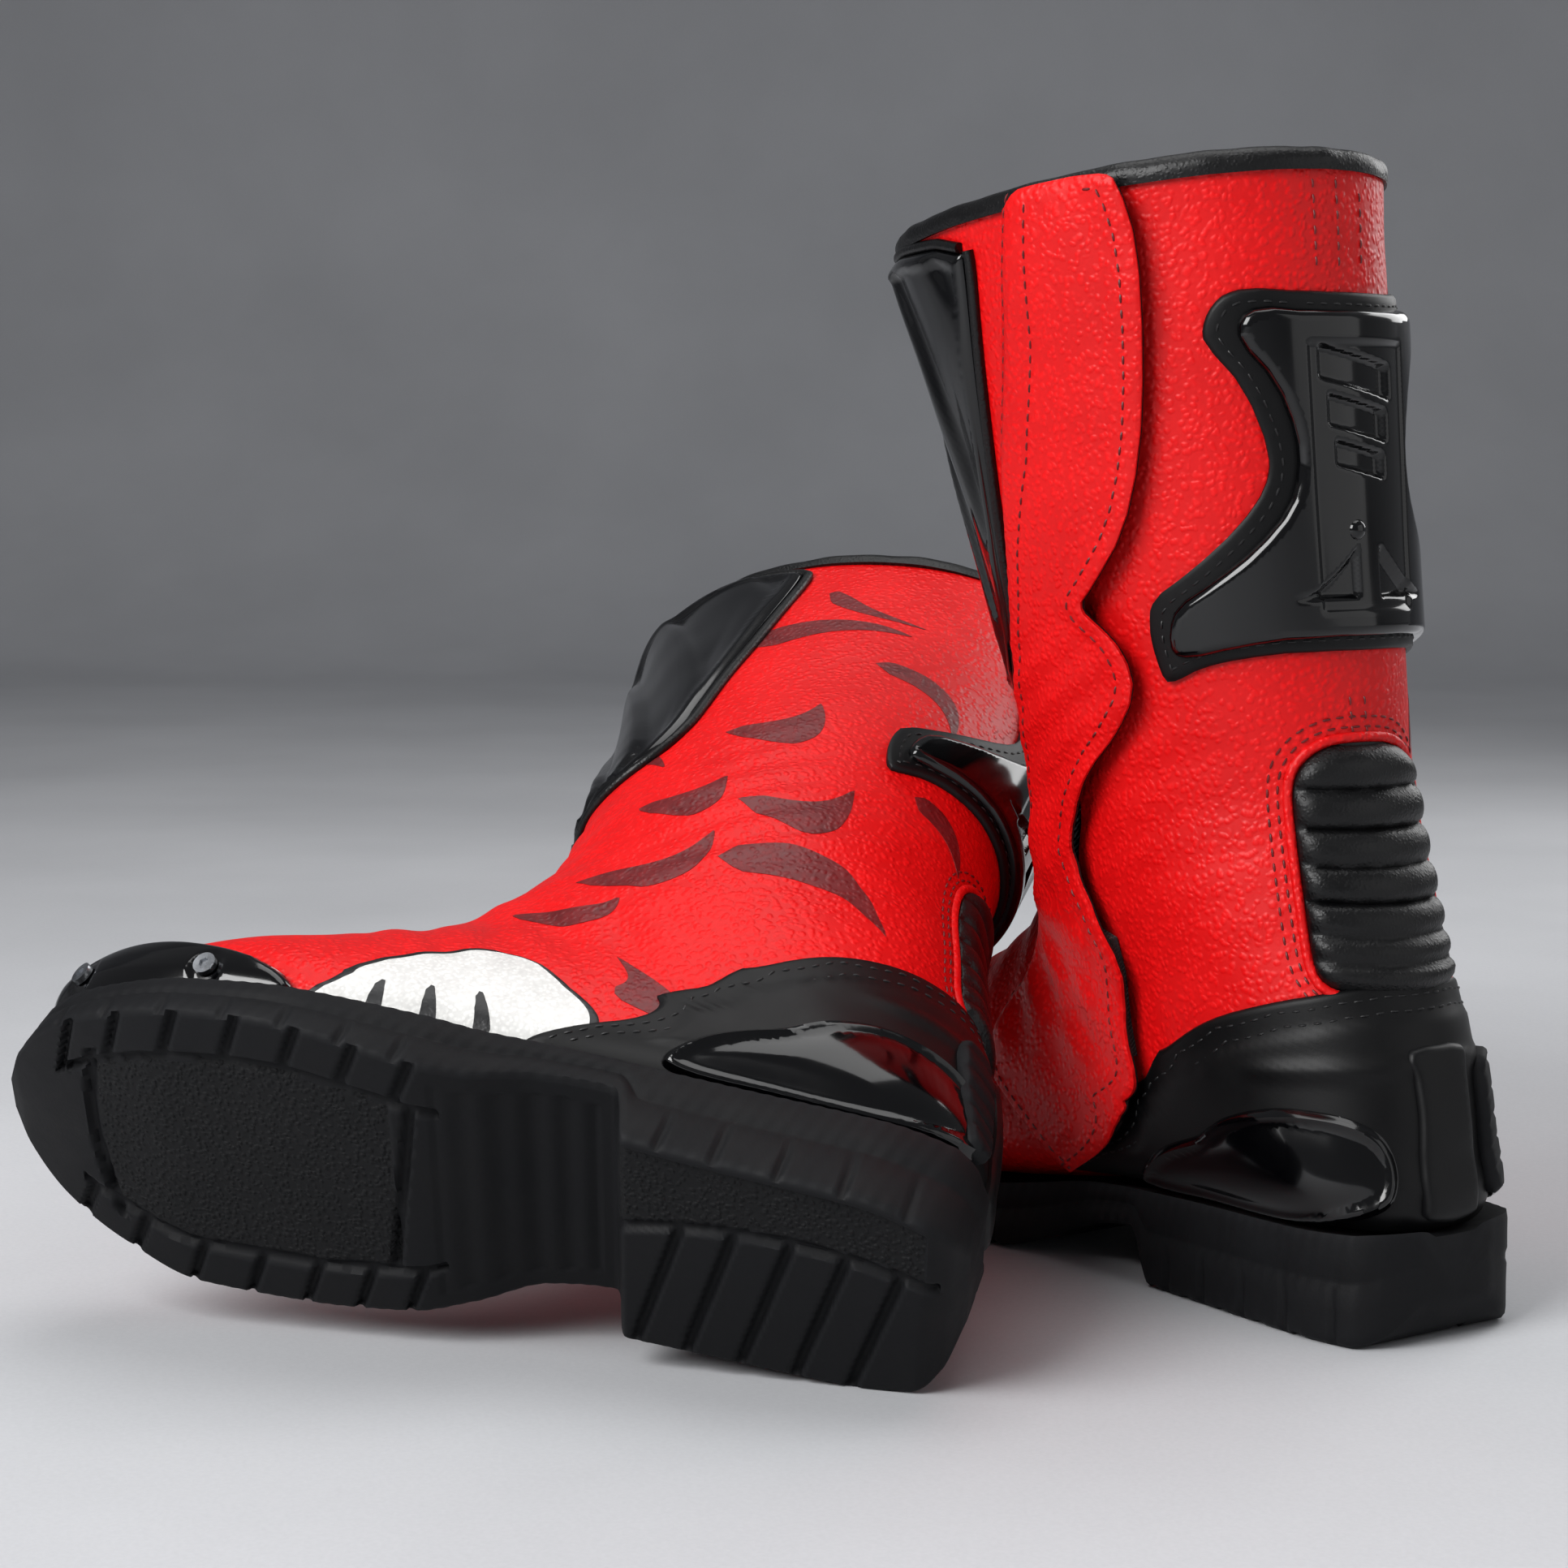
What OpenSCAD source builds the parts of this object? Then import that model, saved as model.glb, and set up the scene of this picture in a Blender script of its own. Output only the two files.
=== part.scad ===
// Pair of tall leather riding boots.
// The right boot stands upright and the left boot lies against it, sole outwards.
// +X is the right toe, +Y is the wearer's left, +Z is up, millimetres.
// Each boot is built once in its own right-foot frame.
// The left boot is the mirror image, turned and set down on its inner side.

/* [Node] */
// One sub-part to build, or all of them

/* [Upper] */
// Collar height at the front
collar_front_z = 322; // [290:1:350]
// Collar height at the back
collar_back_z = 342; // [300:1:370]
// Half width of the collar
collar_half = 58.5; // [50:0.5:66]
// Shaft turn at the collar about the vertical
twist = 8; // [0:0.5:12]
// Leather thickness
leather = 1.8; // [1.2:0.1:2.4]
// Gap left for stiffeners between leather and lining
stiffener_gap = 2.2; // [1.8:0.1:2.6]
// Lining thickness
lining = 2.6; // [1.5:0.1:4]

/* [Sole] */
// Tread groove depth
groove_depth = 3; // [1:0.5:4]
// Tread groove width
groove_width = 3; // [2:0.5:5]
// Height of the arch above the ground at the heel breast
arch_height = 17; // [12:1:20]

/* [Closure] */
// Height of the flap above the leather
flap_lift = 5.6; // [5:0.1:8]
// Flap leather thickness
flap_thick = 1.8; // [1.2:0.1:2.4]
// Zip pull tab length
pull_length = 18; // [12:1:26]

/* [Armour] */
// Rubber flange thickness
flange_thick = 1.7; // [1:0.1:3]
// Shin plate thickness at the ridge
shin_crown = 4.5; // [2:0.5:8]
// Number of padded ribs over the tendon
rib_count = 7; // [5:1:9]

/* [Left boot placement] */
// Left boot roll about X
left_roll = 61.5; // [55:0.1:65]
// Left boot pitch about Y
left_pitch = -9.1; // [-12:0.1:0]
// Left boot heading about Z
left_heading = 43.1; // [43:0.1:60]
// Left heel tread centre, X
left_x = 9.1; // [0:0.1:20]
// Left heel tread centre, Y
left_y = 198.3; // [190:0.1:220]
// Left heel tread centre, Z
left_z = 33.5; // [30:0.1:50]

/* [Hidden] */
left_turn = [left_roll, left_pitch, left_heading];
left_shift = [left_x, left_y, left_z];
// Stations down the shaft and out to the toe.
// Front x and z, back x and z, half width, sideways shift,
// share of the depth behind the widest point, squareness front and back.
stations = [
    [146, collar_front_z, -21, collar_back_z, collar_half, 33, .48, 2, 2.1],
    [134, 268, -18.5, 278, 55.5, 23, .48, 2, 2.1],
    [124, 214, -16.5, 214, 52, 13, .48, 2, 2.1],
    [120, 165, -18, 158, 47.5, 5, .48, 2, 2.1],
    [121, 140, -29, 116, 45, 3, .48, 2, 2.1],
    [125, 127, -39, 86, 43, 1, .48, 2, 2.2],
    [131, 116, -45, 56, 41, 0, .45, 2, 2.4],
    [140, 106, -43, 33, 40, 0, .42, 2, 2.8],
    [149, 97, 5, 31, 40, 0, .40, 2, 3.2],
    [161, 89, 55, 29, 41, 0, .36, 2, 3.4],
    [174, 80, 97, 22, 45, 1, .34, 1.9, 2.9],
    [188, 70, 140, 16, 48, 2, .33, 1.9, 2.9],
    [203, 62, 177, 15, 45, 5, .35, 1.9, 2.9],
    [216, 54, 203, 17, 38, 7, .40, 1.9, 2.9],
    [226, 45, 222, 21, 27, 8, .45, 1.9, 2.6],
    [232, 35, 231, 26, 14, 8, .50, 1.9, 2],
];
last = len(stations) - 1;
pad_in = leather + stiffener_gap;
// Clearance kept between layers sewn or glued on each other
ply = .45;
lining_in = pad_in + lining;

// Outline of the sole: x, outer edge, inner edge, tread height, top height.
sole_outline = [
    [-52, -14, 14, 13, 33.2],
    [-48, -25, 25, 4, 33],
    [-41, -32, 32, 0, 32.2],
    [-20, -37, 36, 0, 31],
    [20, -38.5, 37, 0, 30],
    [43, -40, 37.5, 0, 29],
    [52, -41, 37, arch_height, 28.4],
    [72, -43, 38, arch_height - 3, 26.6],
    [92, -46, 43, 5, 22.9],
    [110, -50, 48, .5, 19.8],
    [145, -54, 54, 0, 15.3],
    [178, -50, 56, 0, 14.4],
    [203, -40, 49, 2.5, 16.4],
    [222, -27, 39, 6, 20.2],
    [235, -10, 25, 10, 24.6],
    [240, 1, 15, 13, 26],
];
sole_x = [for (s = sole_outline) s[0]];
groove_x = [-24, -4, 16, 118, 134, 150, 166, 182, 198];

// Front seam, hinge line and free edge of the flap, and zip line, as [t, angle].
flap_seam = [[-.08, 91], [.55, 84], [1.58, 69], [2.27, 60], [3, 50], [4, 44],
    [6, 42], [7, 43], [8, 50], [8.6, 57], [9.3, 68]];
flap_hinge = [[-.08, 98], [.5, 91], [1, 84], [1.5, 76.5], [2, 69.5], [2.5, 63],
    [3, 58], [4, 52], [5, 50], [6, 49], [7, 49.5], [7.5, 52.5], [8, 57.5],
    [8.5, 63.5], [9.3, 75]];
flap_edge = [[-.08, 117], [.3, 122], [.78, 121], [1.25, 117], [1.75, 106],
    [1.95, 97], [2.1, 104], [2.43, 105], [2.9, 89], [3.33, 79], [3.85, 75],
    [4.5, 81], [5.1, 87], [5.8, 84], [6.6, 85], [7.85, 93], [8.6, 108],
    [9.3, 122]];
zip_line = [[0, 110.5], [.2, 108], [1, 98.5], [2, 84], [3, 72], [4, 64.5], [5.3, 61.5]];
slit = 5;
flap_rows = [-.08, .1, .3, .6, .9, 1.25, 1.5, 1.75, 1.95, 2.1, 2.43, 2.7, 2.9, 3.33,
    3.85, 4.5, 5.1, 5.8, 6.6, 7.3, 7.85, 8.3, 8.7, 9.3];

// Upper run of the zip, straight, taken as the slider's path.
slider_top = [25.0, 82.7, 323.2];
slider_end = [38.1, 75.3, 264.6];
slider_out = [-.28, .94, -.19];

// Heel cup rails from the inner front to the back: top edge and bottom edge.
cup_top = [[9.3, 119], [8.8, 105], [8.3, 98], [7.6, 87], [6.9, 84], [6, 92],
    [5.3, 107], [4.8, 127], [4.5, 148], [4.4, 164], [4.38, 180]];
cup_base = [[9.45, 134], [8.9, 138], [8.3, 136], [7.8, 137], [7.4, 137],
    [7.1, 142], [7, 147], [6.9, 154], [6.8, 163], [6.76, 172], [6.75, 180]];

// Half angle of the shin plate and of the calf flange and shell, about their centres.
shin_half = [[.12, 72], [.5, 73], [1, 68], [1.6, 60], [2.1, 57], [2.45, 48], [2.65, 28], [2.72, 8]];
calf_mid = 178;
flange_half = [[.56, 33], [.68, 43], [.78, 43], [1, 33], [1.28, 28], [1.43, 30],
    [1.6, 38], [1.8, 52], [1.95, 65], [2.18, 66], [2.36, 64]];
shell_half = [[.62, 25], [.88, 18], [1.25, 14.5], [1.43, 16], [1.58, 21], [1.8, 35],
    [1.95, 51], [2.1, 54]];
tendon_mid = 174;

// Interpolation and surface functions.
function mix(a, b, f) = a + (b - a) * f;
function steps(a, b, n) = [for (i = [0:n]) mix(a, b, i / n)];
function column(table, k) = [for (r = table) [r[0], r[k]]];
function smooth4(a, b, c, d, f) =
    .5 * (2 * b + (c - a) * f + (2 * a - 5 * b + 4 * c - d) * f * f
    + (3 * b - a - 3 * c + d) * f * f * f);
function station(t) =
    let (
        i = min(floor(max(t, 0)), last - 1),
        b = stations[i],
        c = stations[i + 1],
        a = i == 0 ? 2 * b - c : stations[i - 1],
        d = i + 2 > last ? 2 * c - b : stations[i + 2]
    ) smooth4(a, b, c, d, t - i);
function bulge(v, n) = sign(v) * pow(abs(v), 2 / n);
function leather_point(t, a) =
    let (
        s = station(t),
        depth = norm([s[0] - s[2], s[1] - s[3]]),
        dx = (s[0] - s[2]) / depth,
        dz = (s[1] - s[3]) / depth,
        ahead = cos(a) >= 0,
        n = ahead ? s[7] : s[8],
        reach = depth * (s[6] + bulge(cos(a), n) * (ahead ? 1 - s[6] : s[6])),
        side = bulge(sin(a), n) * s[4],
        turn = twist * min(max((6 - t) / 6, 0), 1),
        middle = (s[0] + s[2]) / 2,
        u = s[2] + dx * reach - middle
    ) [
        middle + cos(turn) * u - sin(turn) * side,
        s[5] + sin(turn) * u + cos(turn) * side,
        s[3] + dz * reach
    ];
function outward(t, a) =
    let (n = cross(
        leather_point(t + .004, a) - leather_point(t - .004, a),
        leather_point(t, a + .4) - leather_point(t, a - .4)
    )) n / norm(n);
// A point raised off the outer leather face, negative is inside the boot.
function skin(t, a, lift = 0) = leather_point(t, a) + lift * outward(t, a);

// Faces of a thin sheet given as rows by columns of outer and inner points.
function tri(a, b, c, d) = [[a, b, c], [a, c, d]];
module sheet(outer, inner, flip = false) {
    rows = len(outer);
    cols = len(outer[0]);
    total = rows * cols;
    points = concat([for (r = outer) each r], [for (r = inner) each r]);
    top = [for (i = [0:rows - 2]) for (j = [0:cols - 2]) let (k = i * cols + j)
        each tri(k, k + 1, k + cols + 1, k + cols)];
    under = [for (i = [0:rows - 2]) for (j = [0:cols - 2]) let (k = total + i * cols + j)
        each tri(k, k + cols, k + cols + 1, k + 1)];
    ends = [for (j = [0:cols - 2]) let (e = (rows - 1) * cols + j) each concat(
        tri(total + j, total + j + 1, j + 1, j),
        tri(e, e + 1, total + e + 1, total + e))];
    sides = [for (i = [0:rows - 2]) let (k = i * cols, e = k + cols - 1) each concat(
        tri(k, k + cols, total + k + cols, total + k),
        tri(e + cols, e, total + e, total + e + cols))];
    faces = concat(top, under, ends, sides);
    polyhedron(points, flip ? [for (f = faces) [f[0], f[2], f[1]]] : faces);
}
// A tube of rings closed at its last ring by a fan, open at the first.
module pod(outer, inner) {
    rows = len(outer);
    cols = len(outer[0]);
    total = rows * cols;
    end = (rows - 1) * cols;
    hub = 2 * total;
    points = concat([for (r = outer) each r], [for (r = inner) each r],
        [centre(outer[rows - 1]), centre(inner[rows - 1])]);
    faces = [for (j = [0:cols - 1]) let (n = (j + 1) % cols) each concat(
        [for (i = [0:rows - 2]) let (k = i * cols) each concat(
            tri(k + j, k + n, k + cols + n, k + cols + j),
            tri(total + k + j, total + k + cols + j, total + k + cols + n, total + k + n))],
        tri(total + j, total + n, n, j),
        [[hub, end + j, end + n], [hub + 1, total + end + n, total + end + j]])];
    polyhedron(points, faces);
}
// A solid through closed rings, fanned at both ends.
module lofted(rings, flip = false) {
    rows = len(rings);
    cols = len(rings[0]);
    points = concat([for (r = rings) each r], [centre(rings[0]), centre(rings[rows - 1])]);
    faces = [for (j = [0:cols - 1]) let (n = (j + 1) % cols, e = (rows - 1) * cols) each concat(
        [for (i = [0:rows - 2]) let (k = i * cols)
            each tri(k + j, k + n, k + cols + n, k + cols + j)],
        [[rows * cols, n, j], [rows * cols + 1, e + j, e + n]])];
    polyhedron(points, flip ? [for (f = faces) [f[0], f[2], f[1]]] : faces);
}
// A ring-shaped solid through closed sections.
module looped(rings) {
    rows = len(rings);
    cols = len(rings[0]);
    points = [for (r = rings) each r];
    faces = [for (i = [0:rows - 1]) for (j = [0:cols - 1])
        let (k = i * cols, m = ((i + 1) % rows) * cols, n = (j + 1) % cols)
        each tri(k + j, k + n, m + n, m + j)];
    polyhedron(points, faces);
}
function centre(ring) = sum(ring, 0) / len(ring);
function sum(v, i) = i == len(v) - 1 ? v[i] : v[i] + sum(v, i + 1);

// Sheet over the leather between two angle tables.
function span_grid(ts, lo, hi, n, lifts) = [for (t = ts)
    let (a = lookup(t, lo), b = lookup(t, hi))
    [for (j = [0:n]) skin(t, mix(a, b, j / n), mix(lifts[0], lifts[1], j / n))]];
module span(ts, lo, hi, n, outer, inner) {
    sheet(span_grid(ts, lo, hi, n, outer), span_grid(ts, lo, hi, n, inner));
}
// Sheet between two rails of [t, angle] points.
function rail_grid(a, b, n, lift, crown) = [for (i = [0:len(a) - 1])
    [for (j = [0:n]) let (p = mix(a[i], b[i], j / n))
        skin(p[0], p[1], lift + crown * sin(180 * j / n) * sin(180 * i / (len(a) - 1)))]];
module railed(a, b, n, outer, inner, crown = 0, flip = false) {
    sheet(rail_grid(a, b, n, outer, crown), rail_grid(a, b, n, inner, 0), flip);
}
function full(a) = [[0, a], [20, a]];
function mid_edge(table, mid, s) = [for (r = table) [r[0], mid + s * r[1]]];
// Adds the lateral half of a symmetric rail about the back line.
function both(rail) = concat(rail, [for (i = [len(rail) - 2:-1:0]) [rail[i][0], 360 - rail[i][1]]]);

module set_left() {
    translate(left_shift) rotate(left_turn) mirror([0, 1, 0]) children();
}

// ---- sole ----
function sole_at(x, k) = lookup(x, column(sole_outline, k));
function tread_at(x) = sole_at(x, 3) + max([for (g = groove_x) abs(x - g) < groove_width / 2 ? groove_depth : 0]);
function sole_ring(x) =
    let (lo = sole_at(x, 1), hi = sole_at(x, 2), b = tread_at(x), t = sole_at(x, 4) - .7)
    [[x, lo, t + 1.5], [x, lo, b + 2], [x, lo + 2.5, b], [x, hi - 2.5, b], [x, hi, b + 2],
        [x, hi, t + 1.5], [x, hi - 7, t], [x, lo + 7, t]];
function merged(v) = [for (x = steps(-52, 240, 292 * 4)) if (len([for (w = v) if (abs(w - x) < .01) 1]) > 0) x];
function groove_sides(s) = [for (g = groove_x) for (e = [-1, 1]) g + e * (groove_width / 2 + s)];
sole_cuts = merged(concat(sole_x, groove_sides(0), groove_sides(-.25)));

module outsole() {
    lofted([for (x = sole_cuts) sole_ring(x)], flip = true);
}
module shank() {
    span([for (k = [6:9]) foot_rows[k]], full(165), full(195), 2,
        [-leather - ply, -leather - ply], [-pad_in + ply, -pad_in + ply]);
}
module insole() {
    span([for (k = [3:11]) lining_rows[k]], full(140), full(220), 4,
        [-lining_in - .7, -lining_in - .7], [-lining_in - 3, -lining_in - 3]);
}

// ---- leather ----
function zip_side(s) = [for (p = zip_line) [p[0], p[1] + s + (s > 0 ? 0 : 360)]];
foot_rows = steps(5.43, 14, 15);
lining_rows = steps(5.45, 13.4, 11);
shaft_rows = [.02, .5, 1, 1.5, 2, 2.5, 3, 3.5, 4, 4.5, 5, 5.4];
module tube(rows, n, lo, outer, inner) {
    span(rows, zip_side(lo), zip_side(-lo), n, outer, inner);
}
module shaft() {
    tube(shaft_rows, 32, slit, [0, 0], [-leather, -leather]);
}
function rings(rows, n, lift) = [for (t = rows) [for (j = [0:n - 1]) skin(t, 360 * j / n, lift)]];
module foot() {
    rows = concat(foot_rows, [14.4, 14.8]);
    pod(rings(rows, 24, 0), rings(rows, 24, -leather));
}
module boot_lining() {
    tube(shaft_rows, 18, slit + 1, [-pad_in, -pad_in], [-lining_in, -lining_in]);
    rows = concat(lining_rows, [13.9]);
    pod(rings(rows, 18, -pad_in - .7), rings(rows, 18, -lining_in));
}
module collar() {
    looped([for (a = steps(0, 345, 23))
        let (p = skin(0, a, 0), o = outward(0, a), up = unit([.12, 0, 1]))
        [for (q = [[1.3, .5], [1.5, 3.4], [-.6, 5.8], [-3.4, 6.4], [-6, 5.8], [-8.2, 3.4], [-8, .5]])
            p + q[0] * unit([o[0], o[1], 0]) + q[1] * up]]);
}
function unit(v) = v / norm(v);
module gusset() {
    span(steps(.1, 5.3, 10), shift(zip_line, -13), shift(zip_line, 13), 4,
        [-lining_in - .6, -lining_in - .6], [-lining_in - 1.6, -lining_in - 1.6]);
}
function shift(table, s) = [for (p = table) [p[0], p[1] + s]];
module toe_stiffener() {
    span([12, 12.7, 13.3, 13.8, 14.2], full(-120), full(120), 14,
        [-leather - ply, -leather - ply], [-pad_in + ply, -pad_in + ply]);
}
module counter() {
    span([for (k = [1:5]) foot_rows[k]], full(105), full(255), 10,
        [-leather - ply, -leather - ply], [-pad_in + ply + .7, -pad_in + ply + .7]);
}

// ---- closure ----
module zip_tape() {
    span(steps(.05, 5.35, 14), shift(zip_line, -10), shift(zip_line, 10), 2,
        [-leather - .2, -leather - .2], [-leather - .8, -leather - .8]);
}
module zip_teeth() {
    for (s = [-1.5, 1.5])
        span(steps(.08, 5.3, 16), shift(zip_line, s - 1.3), shift(zip_line, s + 1.3), 1,
            [.4, .4], [-leather - .1, -leather - .1]);
}
slider_down = unit(slider_end - slider_top);
slider_side = unit(cross(slider_out, slider_down));
slider_face = cross(slider_down, slider_side);
module at_slider() {
    multmatrix([for (k = [0:2]) [slider_side[k], slider_down[k], slider_face[k], slider_top[k]]])
        children();
}
module slider() {
    at_slider() {
        linear_extrude(1.6)
            polygon([[-5, -6], [5, -6], [5.5, -1], [3.5, 6], [-3.5, 6], [-5.5, -1]]);
        translate([0, 1, 1.5]) cylinder(r = 1, h = 2.3, $fn = 48);
        translate([0, 1, 3.4]) cylinder(r = 1.8, h = .5, $fn = 48);
    }
}
module pull() {
    at_slider() translate([0, 1, 2])
        difference() {
            linear_extrude(1)
                polygon([[-2.6, -2.4], [2.6, -2.4], [3, 2], [2.4, pull_length - 3],
                    [1.4, pull_length], [-1.4, pull_length], [-2.4, pull_length - 3], [-3, 2]]);
            translate([0, 0, -1]) cylinder(r = 1.06, h = 3, $fn = 48);
        }
}
module seam_strip() {
    sheet(span_grid(flap_rows, flap_seam, shift(flap_hinge, -3), 2, [2.2, flap_lift + flap_thick]),
        span_grid(flap_rows, flap_seam, shift(flap_hinge, -3), 2, [.2, flap_lift]));
}
module flap() {
    span(flap_rows, shift(flap_hinge, 1.5), flap_edge, 6,
        [flap_lift + flap_thick, flap_lift + flap_thick], [flap_lift, flap_lift]);
}
module velcro(outer, inner) {
    span([.2, .4, .78, 1.25, 1.5], shift(flap_edge, -8), shift(flap_edge, -2), 2,
        [outer, outer], [inner, inner]);
    span([4.9, 5.4, 6.2, 6.7], shift(flap_edge, -12), shift(flap_edge, -3), 2,
        [outer, outer], [inner, inner]);
}
module hook_strip() {
    velcro(flap_lift - .5, flap_lift - 2);
}
module loop_strip() {
    velcro(flap_lift - 2.5, .5);
}

// ---- armour ----
shin_rows = [.12, .3, .7, 1.1, 1.6, 2.1, 2.45, 2.65, 2.72];
module shin_plate() {
    outer = [for (t = shin_rows) let (h = lookup(t, shin_half))
        [for (j = [-6:6]) skin(t, h * j / 6, 2.2 + shin_crown * pow(1 - abs(j) / 6, .8)
            * min(1, (2.9 - t) * 1.4))]];
    inner = [for (t = shin_rows) let (h = lookup(t, shin_half)) [for (j = [-6:6]) skin(t, h * j / 6, 1)]];
    sheet(outer, inner);
}
module shin_piping() {
    wide = shift(shin_half, 3.2);
    near = shift(shin_half, .3);
    span(shin_rows, near, wide, 1, [2.6, 2.6], [1, 1]);
    span(shin_rows, mid_edge(wide, 0, -1), mid_edge(near, 0, -1), 1, [2.6, 2.6], [1, 1]);
}
module calf_flange() {
    span([for (p = flange_half) p[0]], mid_edge(flange_half, calf_mid, -1),
        mid_edge(flange_half, calf_mid, 1), 10, [flange_thick + 1.1, flange_thick + 1.1], [1.1, 1.1]);
}
shell_rows = [for (p = shell_half) p[0]];
function shell_grid(base, rise) = [for (i = [0:len(shell_half) - 1]) let (p = shell_half[i])
    [for (j = [-5:5]) skin(p[0], calf_mid + p[1] * j / 5, base + rise * (1 - pow(abs(j) / 5, 3))
        * (i == 0 || i == len(shell_half) - 1 ? .4 : 1))]];
module calf_shell() {
    sheet(shell_grid(flange_thick + 2.2, 3.4), shell_grid(flange_thick + 1.5, 0));
}
module calf_stud() {
    translate(skin(1.62, 174, 10.2)) sphere(r = 2.4, $fn = 48);
}
module tendon_pad() {
    count = rib_count * 3;
    outer = [for (i = [0:count]) let (t = mix(2.72, 4.2, i / count), h = 26 * pow(sin(mix(35, 150, i / count)), .3))
        [for (j = [-4:4]) skin(t, tendon_mid + h * j / 4,
            .8 + (1 + 3.4 * abs(sin(180 * rib_count * i / count))) * (1 - pow(abs(j) / 4, 4)))]];
    inner = [for (i = [0:count]) let (t = mix(2.72, 4.2, i / count), h = 26 * pow(sin(mix(35, 150, i / count)), .3))
        [for (j = [-4:4]) skin(t, tendon_mid + h * j / 4, ply)]];
    sheet(outer, inner);
}
module heel_cup() {
    railed(both(cup_top), both(cup_base), 4, 3.5, 1.5, flip = true);
}
oval_in = [[8.5, 124], [8.2, 117], [7.6, 110], [7, 109], [6.4, 116], [6.1, 128], [6.05, 141]];
oval_low = [[8.55, 128], [8.35, 132], [7.9, 132], [7.4, 133], [6.9, 139], [6.5, 144], [6.2, 146]];
module heel_gloss() {
    railed(oval_in, oval_low, 3, 4.7, 4, crown = 1.2, flip = true);
    railed([for (p = oval_low) [p[0], 360 - p[1]]], [for (p = oval_in) [p[0], 360 - p[1]]],
        3, 4.7, 4, crown = 1.2, flip = true);
}
module heel_bumper() {
    railed([[5.3, 200], [5.3, 206], [5.3, 211]], [[6.6, 196], [6.6, 202], [6.6, 207]],
        4, 6.8, 4, flip = true);
}
slider_in = [[11.15, 262], [11.8, 278], [12.6, 286], [13.4, 290], [14.1, 290]];
slider_low = [[11.3, 236], [12, 233], [12.8, 232], [13.5, 230], [14.2, 228]];
module toe_slider() {
    railed(slider_low, slider_in, 5, 3.6, ply + .2, crown = 1.6);
}
module toe_screws() {
    for (p = [[11.75, 262], [13.55, 268]]) {
        seat = skin(p[0], p[1], 5.3);
        axis = outward(p[0], p[1]);
        translate(seat) rotate([0, acos(axis[2]), atan2(axis[1], axis[0])])
            difference() {
                cylinder(r = 3.4, h = 1.8, $fn = 48);
                translate([0, 0, .8]) cylinder(r = 1.6, h = 2, $fn = 6);
            }
    }
}

// ---- the two boots ----
module right_outsole() { color("#17171a") outsole(); }
module right_shank() { color("#8a8d90") shank(); }
module right_insole() { color("#303033") insole(); }
module right_foot() { color("#e01418") foot(); }
module right_shaft() { color("#e01418") shaft(); }
module right_lining() { color("#232326") boot_lining(); }
module right_collar() { color("#151517") collar(); }
module right_gusset() { color("#1c1c1f") gusset(); }
module right_toe_stiffener() { color("#c9b48c") toe_stiffener(); }
module right_heel_counter() { color("#c9b48c") counter(); }
module right_zip_tape() { color("#1a1a1c") zip_tape(); }
module right_zip_teeth() { color("#2b2b2e") zip_teeth(); }
module right_zip_slider() { color("#85888c") slider(); }
module right_zip_pull() { color("#85888c") pull(); }
module right_flap_seam() { color("#e01418") seam_strip(); }
module right_flap() { color("#e01418") flap(); }
module right_flap_hooks() { color("#161618") hook_strip(); }
module right_shaft_loops() { color("#161618") loop_strip(); }
module right_shin_plate() { color("#0c0c0e") shin_plate(); }
module right_shin_piping() { color("#151517") shin_piping(); }
module right_calf_flange() { color("#18181b") calf_flange(); }
module right_calf_shell() { color("#0c0c0e") calf_shell(); }
module right_calf_stud() { color("#0c0c0e") calf_stud(); }
module right_tendon_pad() { color("#151517") tendon_pad(); }
module right_heel_cup() { color("#1b1b1e") heel_cup(); }
module right_heel_gloss() { color("#0c0c0e") heel_gloss(); }
module right_heel_bumper() { color("#17171a") heel_bumper(); }
module right_toe_slider() { color("#0c0c0e") toe_slider(); }
module right_toe_screws() { color("#b9bcc0") toe_screws(); }
module left_outsole() { color("#17171a") set_left() outsole(); }
module left_shank() { color("#8a8d90") set_left() shank(); }
module left_insole() { color("#303033") set_left() insole(); }
module left_foot() { color("#e01418") set_left() foot(); }
module left_shaft() { color("#e01418") set_left() shaft(); }
module left_lining() { color("#232326") set_left() boot_lining(); }
module left_collar() { color("#151517") set_left() collar(); }
module left_gusset() { color("#1c1c1f") set_left() gusset(); }
module left_toe_stiffener() { color("#c9b48c") set_left() toe_stiffener(); }
module left_heel_counter() { color("#c9b48c") set_left() counter(); }
module left_zip_tape() { color("#1a1a1c") set_left() zip_tape(); }
module left_zip_teeth() { color("#2b2b2e") set_left() zip_teeth(); }
module left_zip_slider() { color("#85888c") set_left() slider(); }
module left_zip_pull() { color("#85888c") set_left() pull(); }
module left_flap_seam() { color("#e01418") set_left() seam_strip(); }
module left_flap() { color("#e01418") set_left() flap(); }
module left_flap_hooks() { color("#161618") set_left() hook_strip(); }
module left_shaft_loops() { color("#161618") set_left() loop_strip(); }
module left_shin_plate() { color("#0c0c0e") set_left() shin_plate(); }
module left_shin_piping() { color("#151517") set_left() shin_piping(); }
module left_calf_flange() { color("#18181b") set_left() calf_flange(); }
module left_calf_shell() { color("#0c0c0e") set_left() calf_shell(); }
module left_calf_stud() { color("#0c0c0e") set_left() calf_stud(); }
module left_tendon_pad() { color("#151517") set_left() tendon_pad(); }
module left_heel_cup() { color("#1b1b1e") set_left() heel_cup(); }
module left_heel_gloss() { color("#0c0c0e") set_left() heel_gloss(); }
module left_heel_bumper() { color("#17171a") set_left() heel_bumper(); }
module left_toe_slider() { color("#0c0c0e") set_left() toe_slider(); }
module left_toe_screws() { color("#b9bcc0") set_left() toe_screws(); }

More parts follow.
